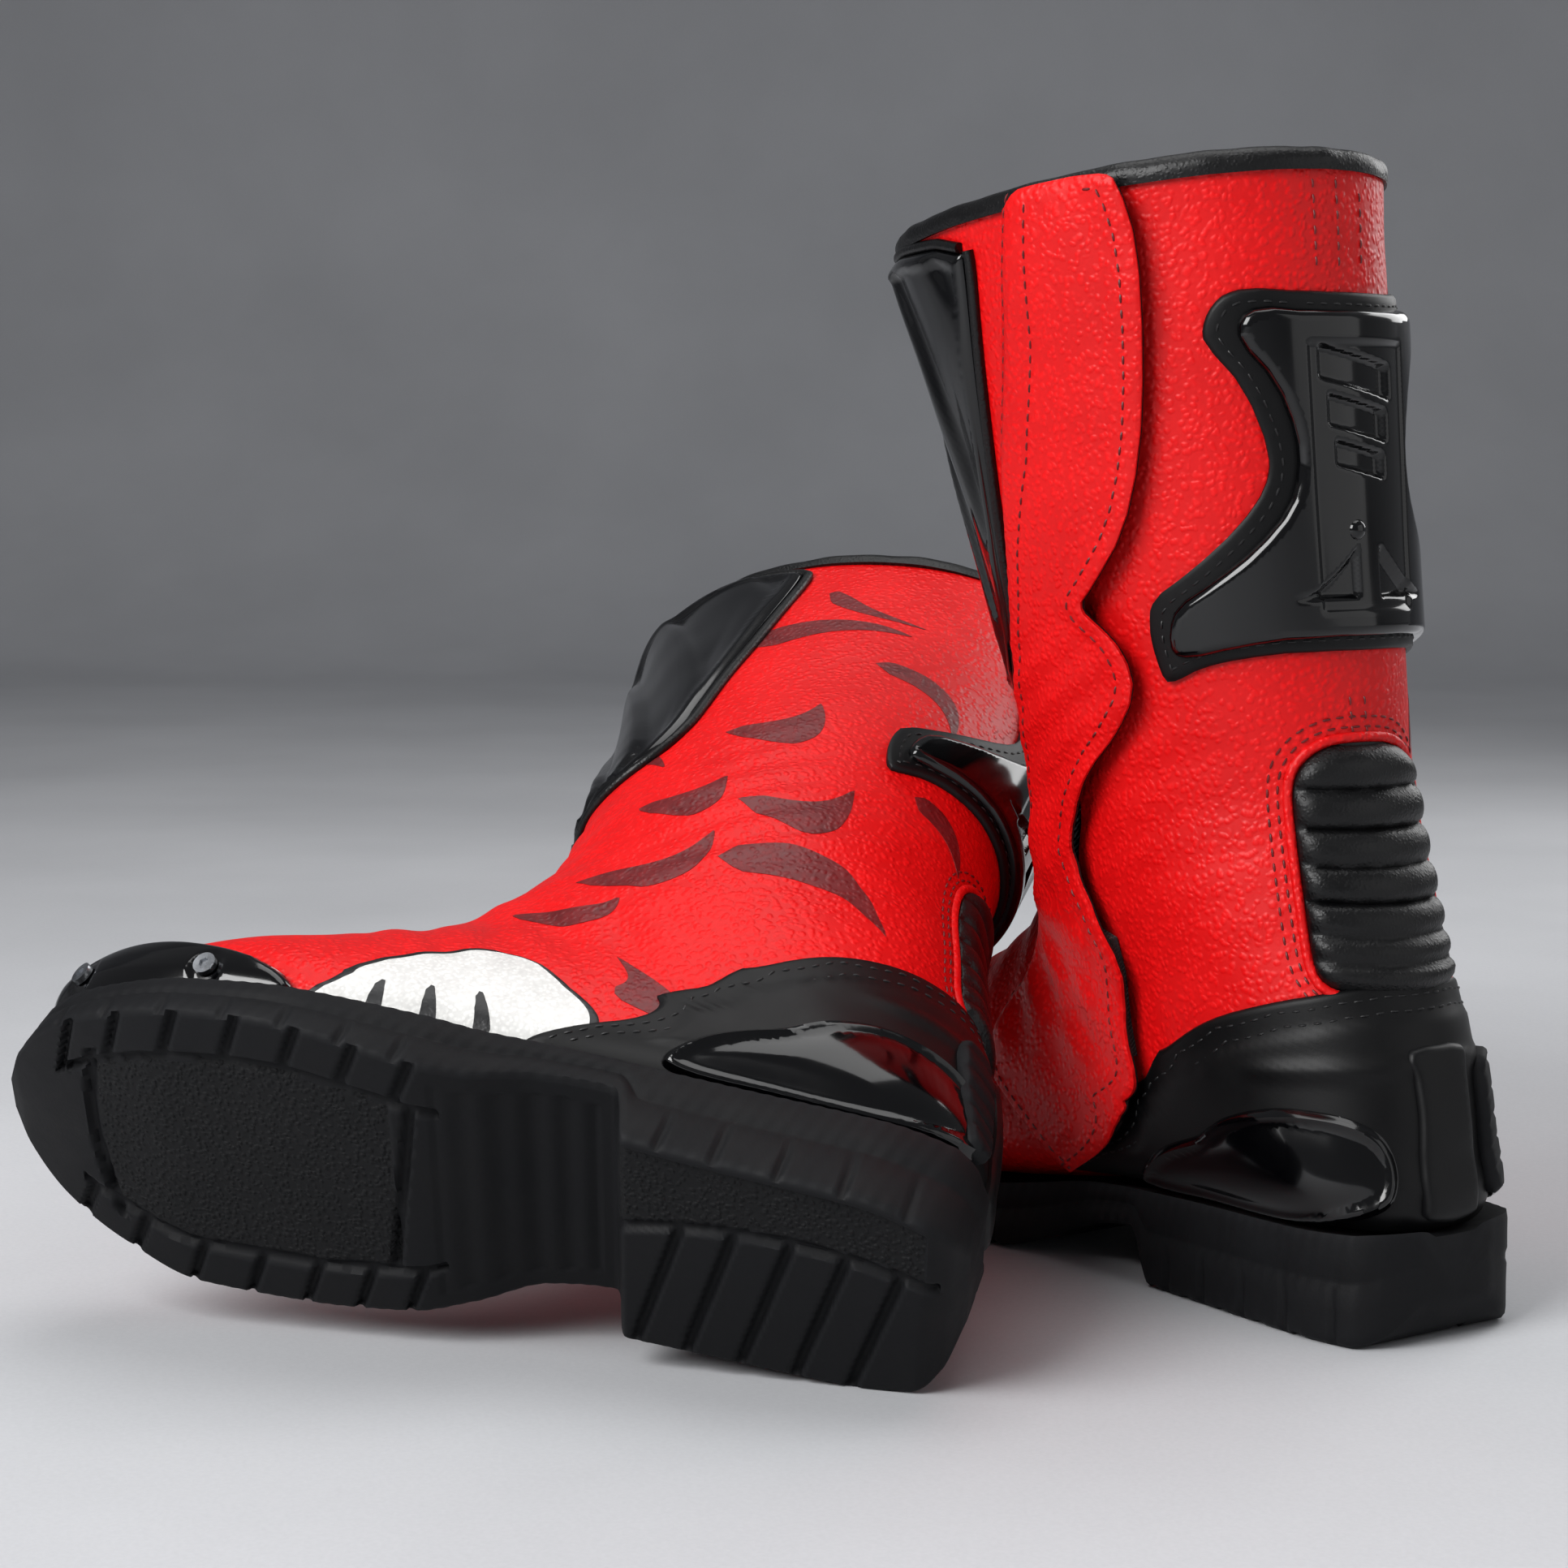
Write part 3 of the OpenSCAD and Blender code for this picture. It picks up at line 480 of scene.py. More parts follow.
finishes = {
    # coated full-grain leather, drummed for a pebbled face: semi-gloss, grain about 1.8 mm
    "redLeather": surface("red_coated_leather", "#D2070A", "#E60D0F", .44,
                          [("pebble", 2.1, .34, .72), ("fine", .7, .07, .3), ("fine", 9, .5, .25)],
                          patchMm=26, specular=.27, roughSwing=.05),
    # the same leather, screen printed with a darker ink, a little duller
    "inkedLeather": surface("printed_coated_leather", "#570A0D", "#7A1418", .46,
                            [("pebble", 1.9, .30, .62), ("fine", .7, .08, .35)], patchMm=7),
    # soft drum-dyed black leather over foam: low sheen, finer grain
    "blackLeather": surface("black_drummed_leather", "#020203", "#060607", .42,
                            [("pebble", 1.1, .14, .5), ("fine", .5, .05, .4)], patchMm=18, specular=.34),
    # compression-moulded nitrile rubber: matt, dusty bloom, scuffed corners
    "treadRubber": surface("moulded_tread_rubber", "#050507", "#0C0D10", .66,
                           [("fine", 1.1, .12, .5), ("fine", .45, .06, .5)], patchMm=22,
                           wear=("#232427", .4), ior=1.52, specular=.2),
    # the rough cast pads let into the tread
    "pittedRubber": surface("pitted_tread_rubber", "#040406", "#0A0B0D", .72,
                            [("pebble", 1.7, .55, 1.0), ("fine", .5, .1, .6)], patchMm=20, specular=.26),
    # injection-moulded polyurethane with a spark-eroded skin: satin black
    "satinPlastic": surface("satin_moulded_polyurethane", "#030304", "#070708", .46,
                            [("fine", .55, .05, .45)], patchMm=30, wear=("#1C1D20", .3), roughSwing=.05,
                            specular=.24),
    # the same polymer out of a polished tool: deep gloss with faint sink marks
    "glossPlastic": surface("gloss_moulded_polyurethane", "#010102", "#030304", .13,
                            [("fine", 16, .12, .15)], patchMm=30, coat=.25, coatRough=.06, roughSwing=.03,
                            specular=.4),
    # low, wide-woven spacer lining
    "liningKnit": surface("knitted_spacer_lining", "#0B0B0E", "#1B1B20", .85,
                          [("knit", 2.2, .5, .9)], patchMm=15, sheen=.3),
    "wovenTape": surface("woven_zip_tape", "#0A0A0C", "#17171A", .8, [("knit", 1.0, .2, .8)], sheen=.2),
    "hookTape": surface("hook_and_loop_tape", "#070708", "#141416", .9, [("knit", 1.3, .5, 1.0)], sheen=.4),
    # bonded polyester thread, slightly waxy
    "redThread": surface("dark_red_bonded_thread", "#4A0608", "#7A1012", .5, [("fine", .3, .05, .5)],
                         patchMm=6),
    "blackThread": surface("black_bonded_thread", "#050506", "#101012", .5, [("fine", .3, .05, .5)],
                           patchMm=6),
    # pigment-coated white leather applique and its black print
    "whitePanel": surface("white_coated_leather", "#CFCECB", "#EDEDEA", .42,
                          [("pebble", 1.3, .1, .4)], patchMm=16, specular=.5),
    "panelInk": surface("black_screen_print", "#08080A", "#121215", .42, [("pebble", 1.3, .1, .4)]),
    # black lacquered zinc casting
    "zipMetal": surface("lacquered_zinc", "#101012", "#2A2A2D", .32, [("fine", .6, .03, .4)], metallic=.8),
    # moulded acetal teeth
    "zipTeeth": surface("moulded_acetal", "#0A0A0B", "#18181A", .4, [("knit", 1.6, .6, 1.0)]),
    # zinc-plated steel screws
    "screwSteel": surface("zinc_plated_steel", "#8C8F94", "#C4C7CB", .27, [("brush", .5, .02, .5)],
                          metallic=1.0),
    "fibreBoard": surface("moulded_fibre_board", "#141312", "#26231F", .8, [("fine", .8, .1, .6)]),
    "sockCloth": surface("brushed_sock_cloth", "#101014", "#202026", .9, [("knit", 1.4, .25, .9)], sheen=.4),
}
studioPaint = surface("matt_studio_paint", "#B4B5B8", "#C2C3C6", .8, [("fine", 30, .3, .15)], patchMm=400)
print("finishes made")

floorSize = {"front": 3.2, "back": 3.0, "half": 6.0, "bend": 1.0, "height": 4.5}


def studioFloor():
    # a floor that sweeps up behind the boots, seen from the camera
    away = -back.copy()
    away[2] = 0
    away /= np.linalg.norm(away)
    side = np.array([away[1], -away[0], 0])
    s = [(-floorSize["front"], 0)] + [(floorSize["back"] + math.sin(k) * floorSize["bend"],
         floorSize["bend"] * (1 - math.cos(k))) for k in np.linspace(0, math.pi / 2, 14)]
    s.append((floorSize["back"] + floorSize["bend"], floorSize["height"]))
    points = [tuple(away * d + side * w * floorSize["half"] + np.array([0, 0, h]) - [0, 0, .0004])
              for d, h in s for w in (-1, 1)]
    faces = [(2 * i, 2 * i + 1, 2 * i + 3, 2 * i + 2) for i in range(len(s) - 1)]
    mesh = bpy.data.meshes.new("studio_floor")
    mesh.from_pydata(points, [], faces)
    mesh.shade_smooth()
    mesh.materials.append(studioPaint)
    obj = bpy.data.objects.new("studio_floor", mesh)
    bpy.context.scene.collection.objects.link(obj)


studioFloor()

lamps = {   # place in metres relative to the aim, in the camera's right, up and back directions
    "key": {"at": (-1.0, .9, 1.0), "size": 1.0, "power": 36},
    "fill": {"at": (1.5, .35, .9), "size": 1.6, "power": 5},
    "top": {"at": (.1, 1.7, -.2), "size": 1.4, "power": 15},
    "rim": {"at": (1.2, .7, -1.0), "size": .9, "power": 9},
}
skyLight = {"colour": "#D8DADF", "strength": .26}


def hangLamps():
    right = np.cross([0, 0, 1], back)
    right /= np.linalg.norm(right)
    for name, lamp in lamps.items():
        data = bpy.data.lights.new(name, "AREA")
        data.size, data.energy = lamp["size"], lamp["power"]
        obj = bpy.data.objects.new(name, data)
        r, u, b = lamp["at"]
        flatBack = np.array([back[0], back[1], 0])
        spot = aim * mm + right * r + np.array([0, 0, u]) + flatBack * b
        obj.location = spot
        obj.rotation_euler = Vector(aim * mm - spot).to_track_quat("-Z", "Y").to_euler()
        bpy.context.scene.collection.objects.link(obj)
    world = bpy.data.worlds.new("studio")
    world.use_nodes = True
    sky = world.node_tree.nodes["Background"]
    sky.inputs["Color"].default_value = linear(skyLight["colour"])
    sky.inputs["Strength"].default_value = skyLight["strength"]
    bpy.context.scene.world = world


hangLamps()
bpy.context.scene.view_settings.view_transform = "Standard"
print("camera, lamps and floor set")

# outlines are lists of row down the boot and angle round it, in degrees
zipLine = np.array([[-.3, 113], [0, 110.5], [.2, 108], [1, 98.5], [2, 84], [3, 72], [4, 64.5], [5.3, 61.5],
                    [15, 61.5]])


def zipAngle(t):
    return np.interp(t, zipLine[:, 0], zipLine[:, 1])


def legShell(rows, cols, gap, closeRow, outLift, inLift, softOut, softIn):
    # a leg-and-foot skin, split at the zip above closeRow, welded below it
    t = np.asarray(rows, float)[:, None] * np.ones((1, cols + 1))
    opened = np.clip((closeRow - t) / .15, 0, 1) * gap
    a = zipAngle(t) + opened + (360 - 2 * opened) * np.linspace(0, 1, cols + 1)[None]
    outer = skin(t, a, outLift, softOut)
    inner = skin(np.minimum(t, rows[-2] + .5 * (rows[-1] - rows[-2])), a, inLift, softIn)
    for grid in (outer, inner):
        # the toe end closes on its middle
        grid[-1] = grid[-1].mean(0)[None]
    n = cols + 1
    count = outer[..., 0].size
    points = np.concatenate([outer.reshape(-1, 3), inner.reshape(-1, 3)])
    faces = []
    for i in range(len(rows) - 1):
        for j in range(cols):
            k = i * n + j
            faces.append((k, k + 1, k + n + 1, k + n))
            faces.append((count + k, count + k + n, count + k + n + 1, count + k + 1))
    for j in range(cols):
        faces.append((j, count + j, count + j + 1, j + 1))
    for i in range(len(rows) - 1):
        if rows[i] < closeRow:
            k, e = i * n, i * n + cols
            faces.append((k, k + n, count + k + n, count + k))
            faces.append((e, count + e, count + e + n, e + n))
    return points, faces


upper = {
    "thick": 1.8,      # leather, mm
    "gap": 5.0,        # half the zip opening, degrees
    "zipFoot": 5.4,    # row where the zip ends and the leather closes
    "rows": np.unique(np.concatenate([np.linspace(.02, 3, 70), np.linspace(3, 5.25, 46),
                                      [5.3, 5.35, 5.4, 5.45],
                      np.linspace(5.5, 12, 88), np.linspace(12, 15, 42)])),
    "cols": 150,
}
lining = {"out": -4.0, "in": -6.6, "gap": 6.0, "cols": 72,
          "rows": np.concatenate([np.linspace(.05, 5.2, 44), [5.3, 5.35, 5.4], np.linspace(5.5, 13.9, 40)])}


def makeLeg(side):
    shape = legShell(upper["rows"], upper["cols"], upper["gap"], upper["zipFoot"], 0.0, -upper["thick"],
                     1.0, 1.0)
    piece(side, "leather_upper", shape, finishes["redLeather"], replaced=("foot", "shaft"),
          weld=2e-6, sharp=55)
    shape = legShell(lining["rows"], lining["cols"], lining["gap"], upper["zipFoot"], lining["out"],
                     lining["in"], .2, .2)
    piece(side, "knit_lining", shape, finishes["liningKnit"], replaced=("lining",),
          weld=2e-6, sharp=55)


collar = {"section": [[1.2, -1.6], [1.9, 1.4], [1.1, 3.8], [-.6, 5.1], [-3.4, 5.5], [-6, 5.0], [-7.9, 3.3],
                      [-8.3, 1.3], [-8, .2]], "gather": .16, "cols": 220}


def makeCollar(side):
    # a rolled binding over foam, with the small gathers it takes round the curve
    section = evenly(cutCorners(np.array(collar["section"], float), 2, False), .9, False)
    a = np.linspace(0, 360, collar["cols"], endpoint=False)
    p = lastPoint(np.zeros_like(a), a)
    n = outward(np.zeros_like(a), a)
    n[:, 2] = 0
    n /= np.linalg.norm(n, axis=1, keepdims=True)
    up = np.array([.12, 0, 1]) / np.linalg.norm([.12, 0, 1])
    gather = collar["gather"] * (np.sin(a / 2.9 + 2 * np.sin(a / 31)) + .6 * np.sin(a / 1.7 + 1))
    swell = 1 + .05 * np.sin(a / 19 + 1)
    ring = []
    for k, (r, h) in enumerate(section):
        w = 1 if 2 < k < len(section) - 3 else .2
        ring.append(p + n * (r + gather * w * (1 if r > -3 else -1))[:, None]
                    + up * (h * swell + .5 * gather * w)[:, None])
    grid = np.stack(ring, 1)
    rows, cols = grid.shape[:2]
    points = grid.reshape(-1, 3)
    faces = []
    for i in range(rows):
        for j in range(cols):
            m, q = (i + 1) % rows, (j + 1) % cols
            faces.append((i * cols + j, i * cols + q, m * cols + q, m * cols + j))
    obj = piece(side, "collar_binding", (points, faces), finishes["blackLeather"], replaced=("collar",),
                sharp=60)


flap = {
    "seam": [(-.08, 91), (.25, 87.5), (.55, 84), (1.05, 77), (1.58, 69), (2.27, 60), (3, 50), (4, 44),
             (5, 42.5),
             (6, 42), (7, 43), (8, 50), (8.6, 57), (9.25, 67)],
    "edge": [(-.08, 116), (-.02, 120), (.3, 123), (.78, 121.5), (1.25, 117.5), (1.6, 111), (1.85, 101),
             (1.97, 95),
             (2.05, 99), (2.2, 106), (2.43, 107), (2.66, 99), (2.9, 89), (3.33, 79), (3.85, 75), (4.5, 82),
             (5.1, 88), (5.8, 85), (6.6, 85.5), (7.3, 89), (7.85, 93.5), (8.4, 103), (8.9, 114), (9.25, 122)],
    "hinge": [(-.3, 98), (.5, 91), (1, 84), (1.5, 76.5), (2, 69.5), (2.5, 63), (3, 58), (4, 52), (5, 50),
              (6, 49), (7, 49.5), (7.5, 52.5), (8, 57.5), (8.5, 63.5), (9.3, 75)],
    "lift": 7.4, "thick": 1.5, "backing": .5, "rowInset": 4.0,
    "axisTop": (38.6, 95.7, 332.3), "axisFoot": (112.5, 43.4, 76.0),
}
hingeTable = np.array(flap["hinge"], float)
seamTable = np.array(flap["seam"], float)
edgeTable = np.array(flap["edge"], float)


def flapShare(t, a):
    # 0 at the front seam, 1 at the hinge line and on
    seam = np.interp(t, seamTable[:, 0], seamTable[:, 1])
    hinge = np.interp(t, hingeTable[:, 0], hingeTable[:, 1])
    return np.clip((a - seam) / np.maximum(hinge - seam, 1), 0, 1)


def flapTop(t, a, away=None):
    s = flapShare(t, a)
    rise = 2.0 + (flap["lift"] - 2.0) * s * s * (3 - 2 * s)
    free = np.interp(t, edgeTable[:, 0], edgeTable[:, 1])
    near = np.clip(1 - (free - a) / 16, 0, 1)
    # the free edge stands off a little and wanders
    rise = rise + near * near * (.55 + .5 * np.sin(t * 4.1 + .5)) + .4 * np.sin(t * 5.3) * s * (1 - near)
    rise = rise - .45 * np.exp(-((a - free + 9) / 2.2) ** 2) * s   # pressed in at the edge stitching
    return rise


def makeFlap(side):
    outline = np.array(flap["seam"] + flap["edge"][::-1], float)

    def top(away, t, a):
        return flapTop(t, a) - .7 * (1 - np.clip(away / 1.3, 0, 1)) ** 2

    leather = patch(outline, top, lambda w, t, a: flapTop(t, a) - flap["thick"], 2.0, 1, (.5, 1.3), soft=1.3)
    wider = fromPlan(insetLine(evenly(cutCorners(toPlan(outline), 1), 2.0), -.15))
    backing = patch(wider, lambda w, t, a: flapTop(t, a) - flap["thick"] - .03,
                    lambda w, t, a: np.maximum(flapTop(t, a) - flap["thick"] - flap["backing"], .25), 3.0, 1,
                    soft=1.3)
    at = np.array(flap["axisTop"])
    d = np.array(flap["axisFoot"]) - at
    d /= np.linalg.norm(d)
    mid = lastPoint(np.array([1.0, 1.0]), np.array([84.0, 100.0]))
    e = mid[1] - mid[0]
    e -= d * (e @ d)
    e /= np.linalg.norm(e)
    mats = (finishes["redLeather"], finishes["blackLeather"])
    shown = []
    for name, shape, mat, gone in (("flap", leather, mats[0], ("flap", "flap_seam")),
                                   ("flap_backing", backing, mats[1], ())):
        obj = piece(side, name, shape, mat, body=None, replaced=gone)
        shown.append(obj)
    # three sewn rows: root, second row and the free edge
    rowRoot = [(t, a + 2.6) for t, a in flap["seam"][:-1]]
    rowSecond = [(.0, 99), (.68, 94.5), (1.23, 88), (1.7, 78), (2.27, 70), (3, 60), (3.6, 55)]
    edge = toPlan(flap["edge"])
    edge = insetLine(evenly(cutCorners(np.concatenate([toPlan(flap["seam"]), edge[::-1]]), 1), 2.0),
                     flap["rowInset"])
    ta = fromPlan(edge)
    keep = flapShare(ta[:, 0], ta[:, 1]) > .97
    keep &= ta[:, 0] > 0
    best, run = [], []
    for k in np.concatenate([np.nonzero(keep)[0], [len(keep) + 9]]):
        if run and k != run[-1] + 1:
            best = run if len(run) > len(best) else best
            run = []
        run.append(int(k))
    rowEdge = edge[best]
    high = lambda t, a: flapTop(t, a) + .12
    sewn = joined([stitches(rowRoot, high, soft=1.3), stitches(rowSecond, high, soft=1.3),
                   stitches(rowEdge, high, plan=True, soft=1.3)])
    shown.append(piece(side, "flap_stitching", sewn, finishes["redThread"], body=None))
    for obj in shown:
        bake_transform(obj)


shin = {"half": [(.03, 77), (.4, 75), (1.03, 68.5), (1.8, 60), (2.1, 57), (2.3, 53), (2.45, 46), (2.58, 33),
                 (2.66, 14)],
        "base": 2.6, "crown": 4.2, "piping": 1.7, "blades": 2.7, "slant": .85, "bladeDepth": 2.7}
shinTable = np.array(shin["half"], float)


def shinTop(away, t, a):
    half = np.interp(t, shinTable[:, 0], shinTable[:, 1])
    u = np.clip(np.abs(a) / half, 0, 1)
    ridge = shin["crown"] * (1 - u) ** .8 * np.clip((2.9 - t) * 1.4, 0, 1)
    # long moulded blades that sweep down and back from the ridge: a slow rise and a soft drop
    sweep = (u - .16) * shin["blades"] - (t - .2) * shin["slant"]
    share = sweep - np.floor(sweep)
    rise = np.where(share < .8, share / .8, (1 - share) / .2)
    blade = rise * rise * (3 - 2 * rise)
    cutIn = shin["bladeDepth"] * (1 - blade) * np.clip(u * 5, 0, 1) * np.clip((1 - u) * 6, 0, 1)
    edge = np.sqrt(1 - (1 - np.clip(away / 2.2, 0, 1)) ** 2)
    lip = .7 * np.exp(-((away - 3.2) / 1.3) ** 2)
    return .3 + (shin["base"] + ridge - cutIn * np.clip(away / 5, 0, 1)) * edge + lip


def makeShin(side):
    outline = shin["half"] + [(t, -a) for t, a in shin["half"][::-1]]
    shape = patch(outline, shinTop, level(.2), 1.5, 2, (.5, 1.3, 2.4), soft=.4)
    piece(side, "shin_plate", shape, finishes["glossPlastic"], replaced=("shin_plate",),
          sharp=75)
    edge = evenly(cutCorners(toPlan(outline), 2), 2.0)
    edge = insetLine(edge, -1.5)
    ta = fromPlan(edge)
    keep = ta[:, 0] > .0
    ta = np.roll(ta, -int(np.argmin(keep)), 0) if not keep.all() else ta
    keep = ta[:, 0] > .0
    ta = ta[keep]
    path = skin(ta[:, 0], ta[:, 1], 1.1, .6)
    shape = tubeAlong(path, outward(ta[:, 0], ta[:, 1]), shin["piping"], 12)
    piece(side, "shin_piping", shape, finishes["blackLeather"], replaced=("shin_piping",))


calf = {
    "mid": 178,
    "flange": [(.56, 180), (.56, 163), (.53, 146), (.57, 139), (.68, 135), (.77, 135), (.98, 144.5),
               (1.28, 150.5),
               (1.43, 148.5), (1.6, 140), (1.8, 126), (1.95, 113.5), (2.08, 112), (2.2, 112), (2.38, 114),
               (2.36, 118),
               (2.29, 125), (2.24, 136), (2.2, 154), (2.18, 180)],
    "shell": [(.64, 180), (.64, 163), (.61, 149.5), (.66, 144), (.77, 143.5), (.96, 152.5), (1.2, 157.5),
              (1.36, 157.5),
              (1.52, 154), (1.7, 143.5), (1.85, 131.5), (1.97, 121), (2.1, 118), (2.22, 118), (2.24, 123),
              (2.18, 136),
              (2.13, 154), (2.11, 180)],
    "flangeThick": 2.1, "shellRise": 3.6, "dome": (1.62, 174),
    # sunk field: rows, half width mm and depth; slots: first row, last row, half width mm
    "field": (.80, 1.98, 13.5, 1.0), "slots": ((.86, .98, 9.5), (1.07, 1.18, 7.5), (1.27, 1.35, 6)),
    "slotDeep": 2.6,
    "wingDeep": 2.4, "domeRadius": 3.3,
}


def bothSides(half, mid):
    half = [(t, a) for t, a in half if a < mid - .5]
    return half + [(t, 2 * mid - a) for t, a in half[::-1]]


def shellTop(away, t, a):
    edge = np.clip(away / 2.6, 0, 1)
    h = calf["flangeThick"] + .5 + calf["shellRise"] * np.sqrt(1 - (1 - edge) ** 2)
    x = (a - calf["mid"]) * .85       # mm across, about
    # sunk field in the middle with a bevel, and the three sunk slots
    first, final, wide, deep = calf["field"]
    h = h - deep * bump(t, first, final, .035) * bump(np.abs(x), 0, wide, 1.6)
    for t0, t1, half in calf["slots"]:
        h = h - calf["slotDeep"] * bump(t - .0045 * x, t0, t1, .026) * bump(np.abs(x + 1), 0, half, 1.6)
    # winglets below the dome
    for s in (-1, 1):
        w = np.clip((s * x - 3) / 17, 0, 1)
        line = 1.92 - .24 * (1 - w) ** 1.5
        inWing = np.clip((t - line) / .035, 0, 1) * np.clip((1.95 - t) / .03, 0, 1) * np.clip(s * x - 3, 0, 1)
        h = h - calf["wingDeep"] * inWing * np.clip((21 - s * x) / 2, 0, 1)
    return h


def makeCalf(side):
    outline = bothSides(calf["flange"], calf["mid"])
    shape = patch(outline, rounded(calf["flangeThick"], 1.2, .3), level(.2), 2.2, 1, (.4, 1.2), soft=.5)
    piece(side, "calf_flange", shape, finishes["satinPlastic"], replaced=("calf_flange",))
    shape = patch(bothSides(calf["shell"], calf["mid"]), shellTop, level(calf["flangeThick"] - .1), .8, 1,
                  (.5, 1.2, 2.4), soft=.5)
    piece(side, "calf_shell", shape, finishes["glossPlastic"], replaced=("calf_shell",),
          sharp=80)
    # low moulded dome
    u, v = np.meshgrid(np.linspace(0, np.pi / 2, 9), np.linspace(0, 2 * np.pi, 28, endpoint=False),
                       indexing="ij")
    centre = skin([calf["dome"][0]], [calf["dome"][1]], 4.0)[0]
    n = outward(np.array([calf["dome"][0]]), np.array([calf["dome"][1]]))[0]
    e1 = np.cross(n, [0, 0, 1.0])
    e1 /= np.linalg.norm(e1)
    e2 = np.cross(n, e1)
    spoke = np.cos(v)[..., None] * e1 + np.sin(v)[..., None] * e2
    pts = centre + calf["domeRadius"] * (np.sin(u)[..., None] * spoke
                          + .9 * np.cos(u)[..., None] * n)
    skirt = pts[-1:] - n * 2
    pts = np.concatenate([pts, skirt])
    rows, cols = pts.shape[:2]
    faces = [(i * cols + j, i * cols + (j + 1) % cols, (i + 1) * cols + (j + 1) % cols, (i + 1) * cols + j)
             for i in range(rows - 1) for j in range(cols)]
    faces.append(tuple((rows - 1) * cols + j for j in range(cols)))
    piece(side, "calf_dome", (pts.reshape(-1, 3), faces), finishes["glossPlastic"], replaced=("calf_stud",),
          weld=1e-6)
    loop = evenly(cutCorners(toPlan(outline), 1), 2.0)
    sewn = stitches(insetLine(loop, 3.4), calf["flangeThick"] + .34, closed=True, plan=True, soft=.5)
    return sewn


tendon = {"mid": 174,
          "half": [(2.68, 6), (2.7, 14), (2.78, 22), (2.92, 27), (3.2, 28), (3.6, 29), (4.0, 30),
                   (4.32, 30.5),
                   (4.44, 29), (4.5, 24), (4.5, 6)],
          "ribs": [2.70, 2.95, 3.2, 3.45, 3.72, 3.98, 4.22, 4.46], "rise": 4.4}


def tendonTop(away, t, a):
    marks = np.array(tendon["ribs"])
    k = np.clip(np.searchsorted(marks, t) - 1, 0, len(marks) - 2)
    s = np.clip((t - marks[k]) / (marks[k + 1] - marks[k]), 0, 1)
    roll = np.sqrt(np.clip(4 * s * (1 - s), 0, 1)) ** .9
    pinch = .25 * np.sin(a / 1.9 + k * 1.7) * (1 - roll)       # puckers along each seam
    edge = np.sqrt(1 - (1 - np.clip(away / 6.5, 0, 1)) ** 2)
    return .35 + (.5 + tendon["rise"] * (.12 + .88 * roll) + pinch) * edge


def makeTendon(side):
    half = [(t, tendon["mid"] - w) for t, w in tendon["half"]]
    outline = half[::-1] + [(t, 2 * tendon["mid"] - a) for t, a in half]
    shape = patch(outline, tendonTop, level(.2), 1.2, 2, (.4, 1.0, 2.0), soft=.5)
    obj = piece(side, "tendon_pad", shape, finishes["blackLeather"], replaced=("tendon_pad",),
                sharp=70)
    loop = evenly(cutCorners(toPlan(outline), 2), 2.0)
    rim = fromPlan(insetLine(loop, -1.6))
    bead = tubeAlong(skin(rim[:, 0], rim[:, 1], .5), outward(rim[:, 0], rim[:, 1]), 1.5, 10, .8, closed=True)
    piece(side, "tendon_edge", bead, finishes["redLeather"])
    seams = joined([stitches([(c, tendon["mid"] - 27), (c, tendon["mid"] + 27)], 1.25, soft=.5)
                    for c in tendon["ribs"][1:-1]])
    piece(side, "tendon_stitching", seams, finishes["blackThread"])
    return [stitches(insetLine(loop, -d), .18, closed=True, plan=True) for d in (4.6, 7.6)]


heel = {
    "top": [(9.45, 124), (9.2, 115), (8.8, 105), (8.3, 98), (7.6, 88), (6.9, 84.5), (6.0, 92), (5.3, 107),
            (4.8, 127),
            (4.5, 148), (4.38, 164), (4.36, 180)],
    "base": [(9.5, 131), (8.9, 138), (8.3, 139), (7.8, 140.5), (7.4, 142), (7.2, 146), (7.12, 151),
             (7.06, 157),
             (7.0, 164), (6.98, 172), (6.96, 180)],
    "step": 9.0,
    "oval": [(8.55, 126), (8.35, 115), (7.95, 105.5), (7.5, 99.5), (7.0, 98.5), (6.55, 104), (6.2, 114),
             (5.95, 124),
             (5.82, 134), (5.76, 145), (5.82, 155), (6.0, 160.5), (6.3, 162), (6.6, 159.5), (6.76, 154),
             (6.9, 147.5),
             (7.1, 141), (7.4, 137), (7.8, 135.5), (8.2, 134.5), (8.45, 132)],
    "column": [(5.15, 167), (5.3, 170), (6.7, 170), (6.75, 176), (6.75, 184), (6.7, 190), (5.3, 190),
               (5.15, 193),
               (5.0, 190), (5.0, 170)],
    "bumper": [(5.25, 199), (5.2, 206), (5.25, 215), (5.9, 214), (6.5, 211), (6.68, 207), (6.66, 200),
               (6.4, 196.5),
               (5.8, 197)],
}


def cupTop(away, t, a):
    edge = np.sqrt(1 - (1 - np.clip(away / 1.6, 0, 1)) ** 2)
    h = .3 + 1.7 * edge
    rise = np.clip((away - heel["step"]) / 3.0, 0, 1)
    h = h + .9 * rise * rise * (3 - 2 * rise)
    # a moulded crease sweeping from the ankle to the back
    off = np.abs(a - 180)
    line = 5.18 + .0065 * np.maximum(off - 12, 0) + .00016 * np.maximum(off - 30, 0) ** 2
    ridge = np.exp(-((t - line) / .075) ** 2) * bump(off, 0, 52, 18)
    return h + 1.3 * ridge * rise


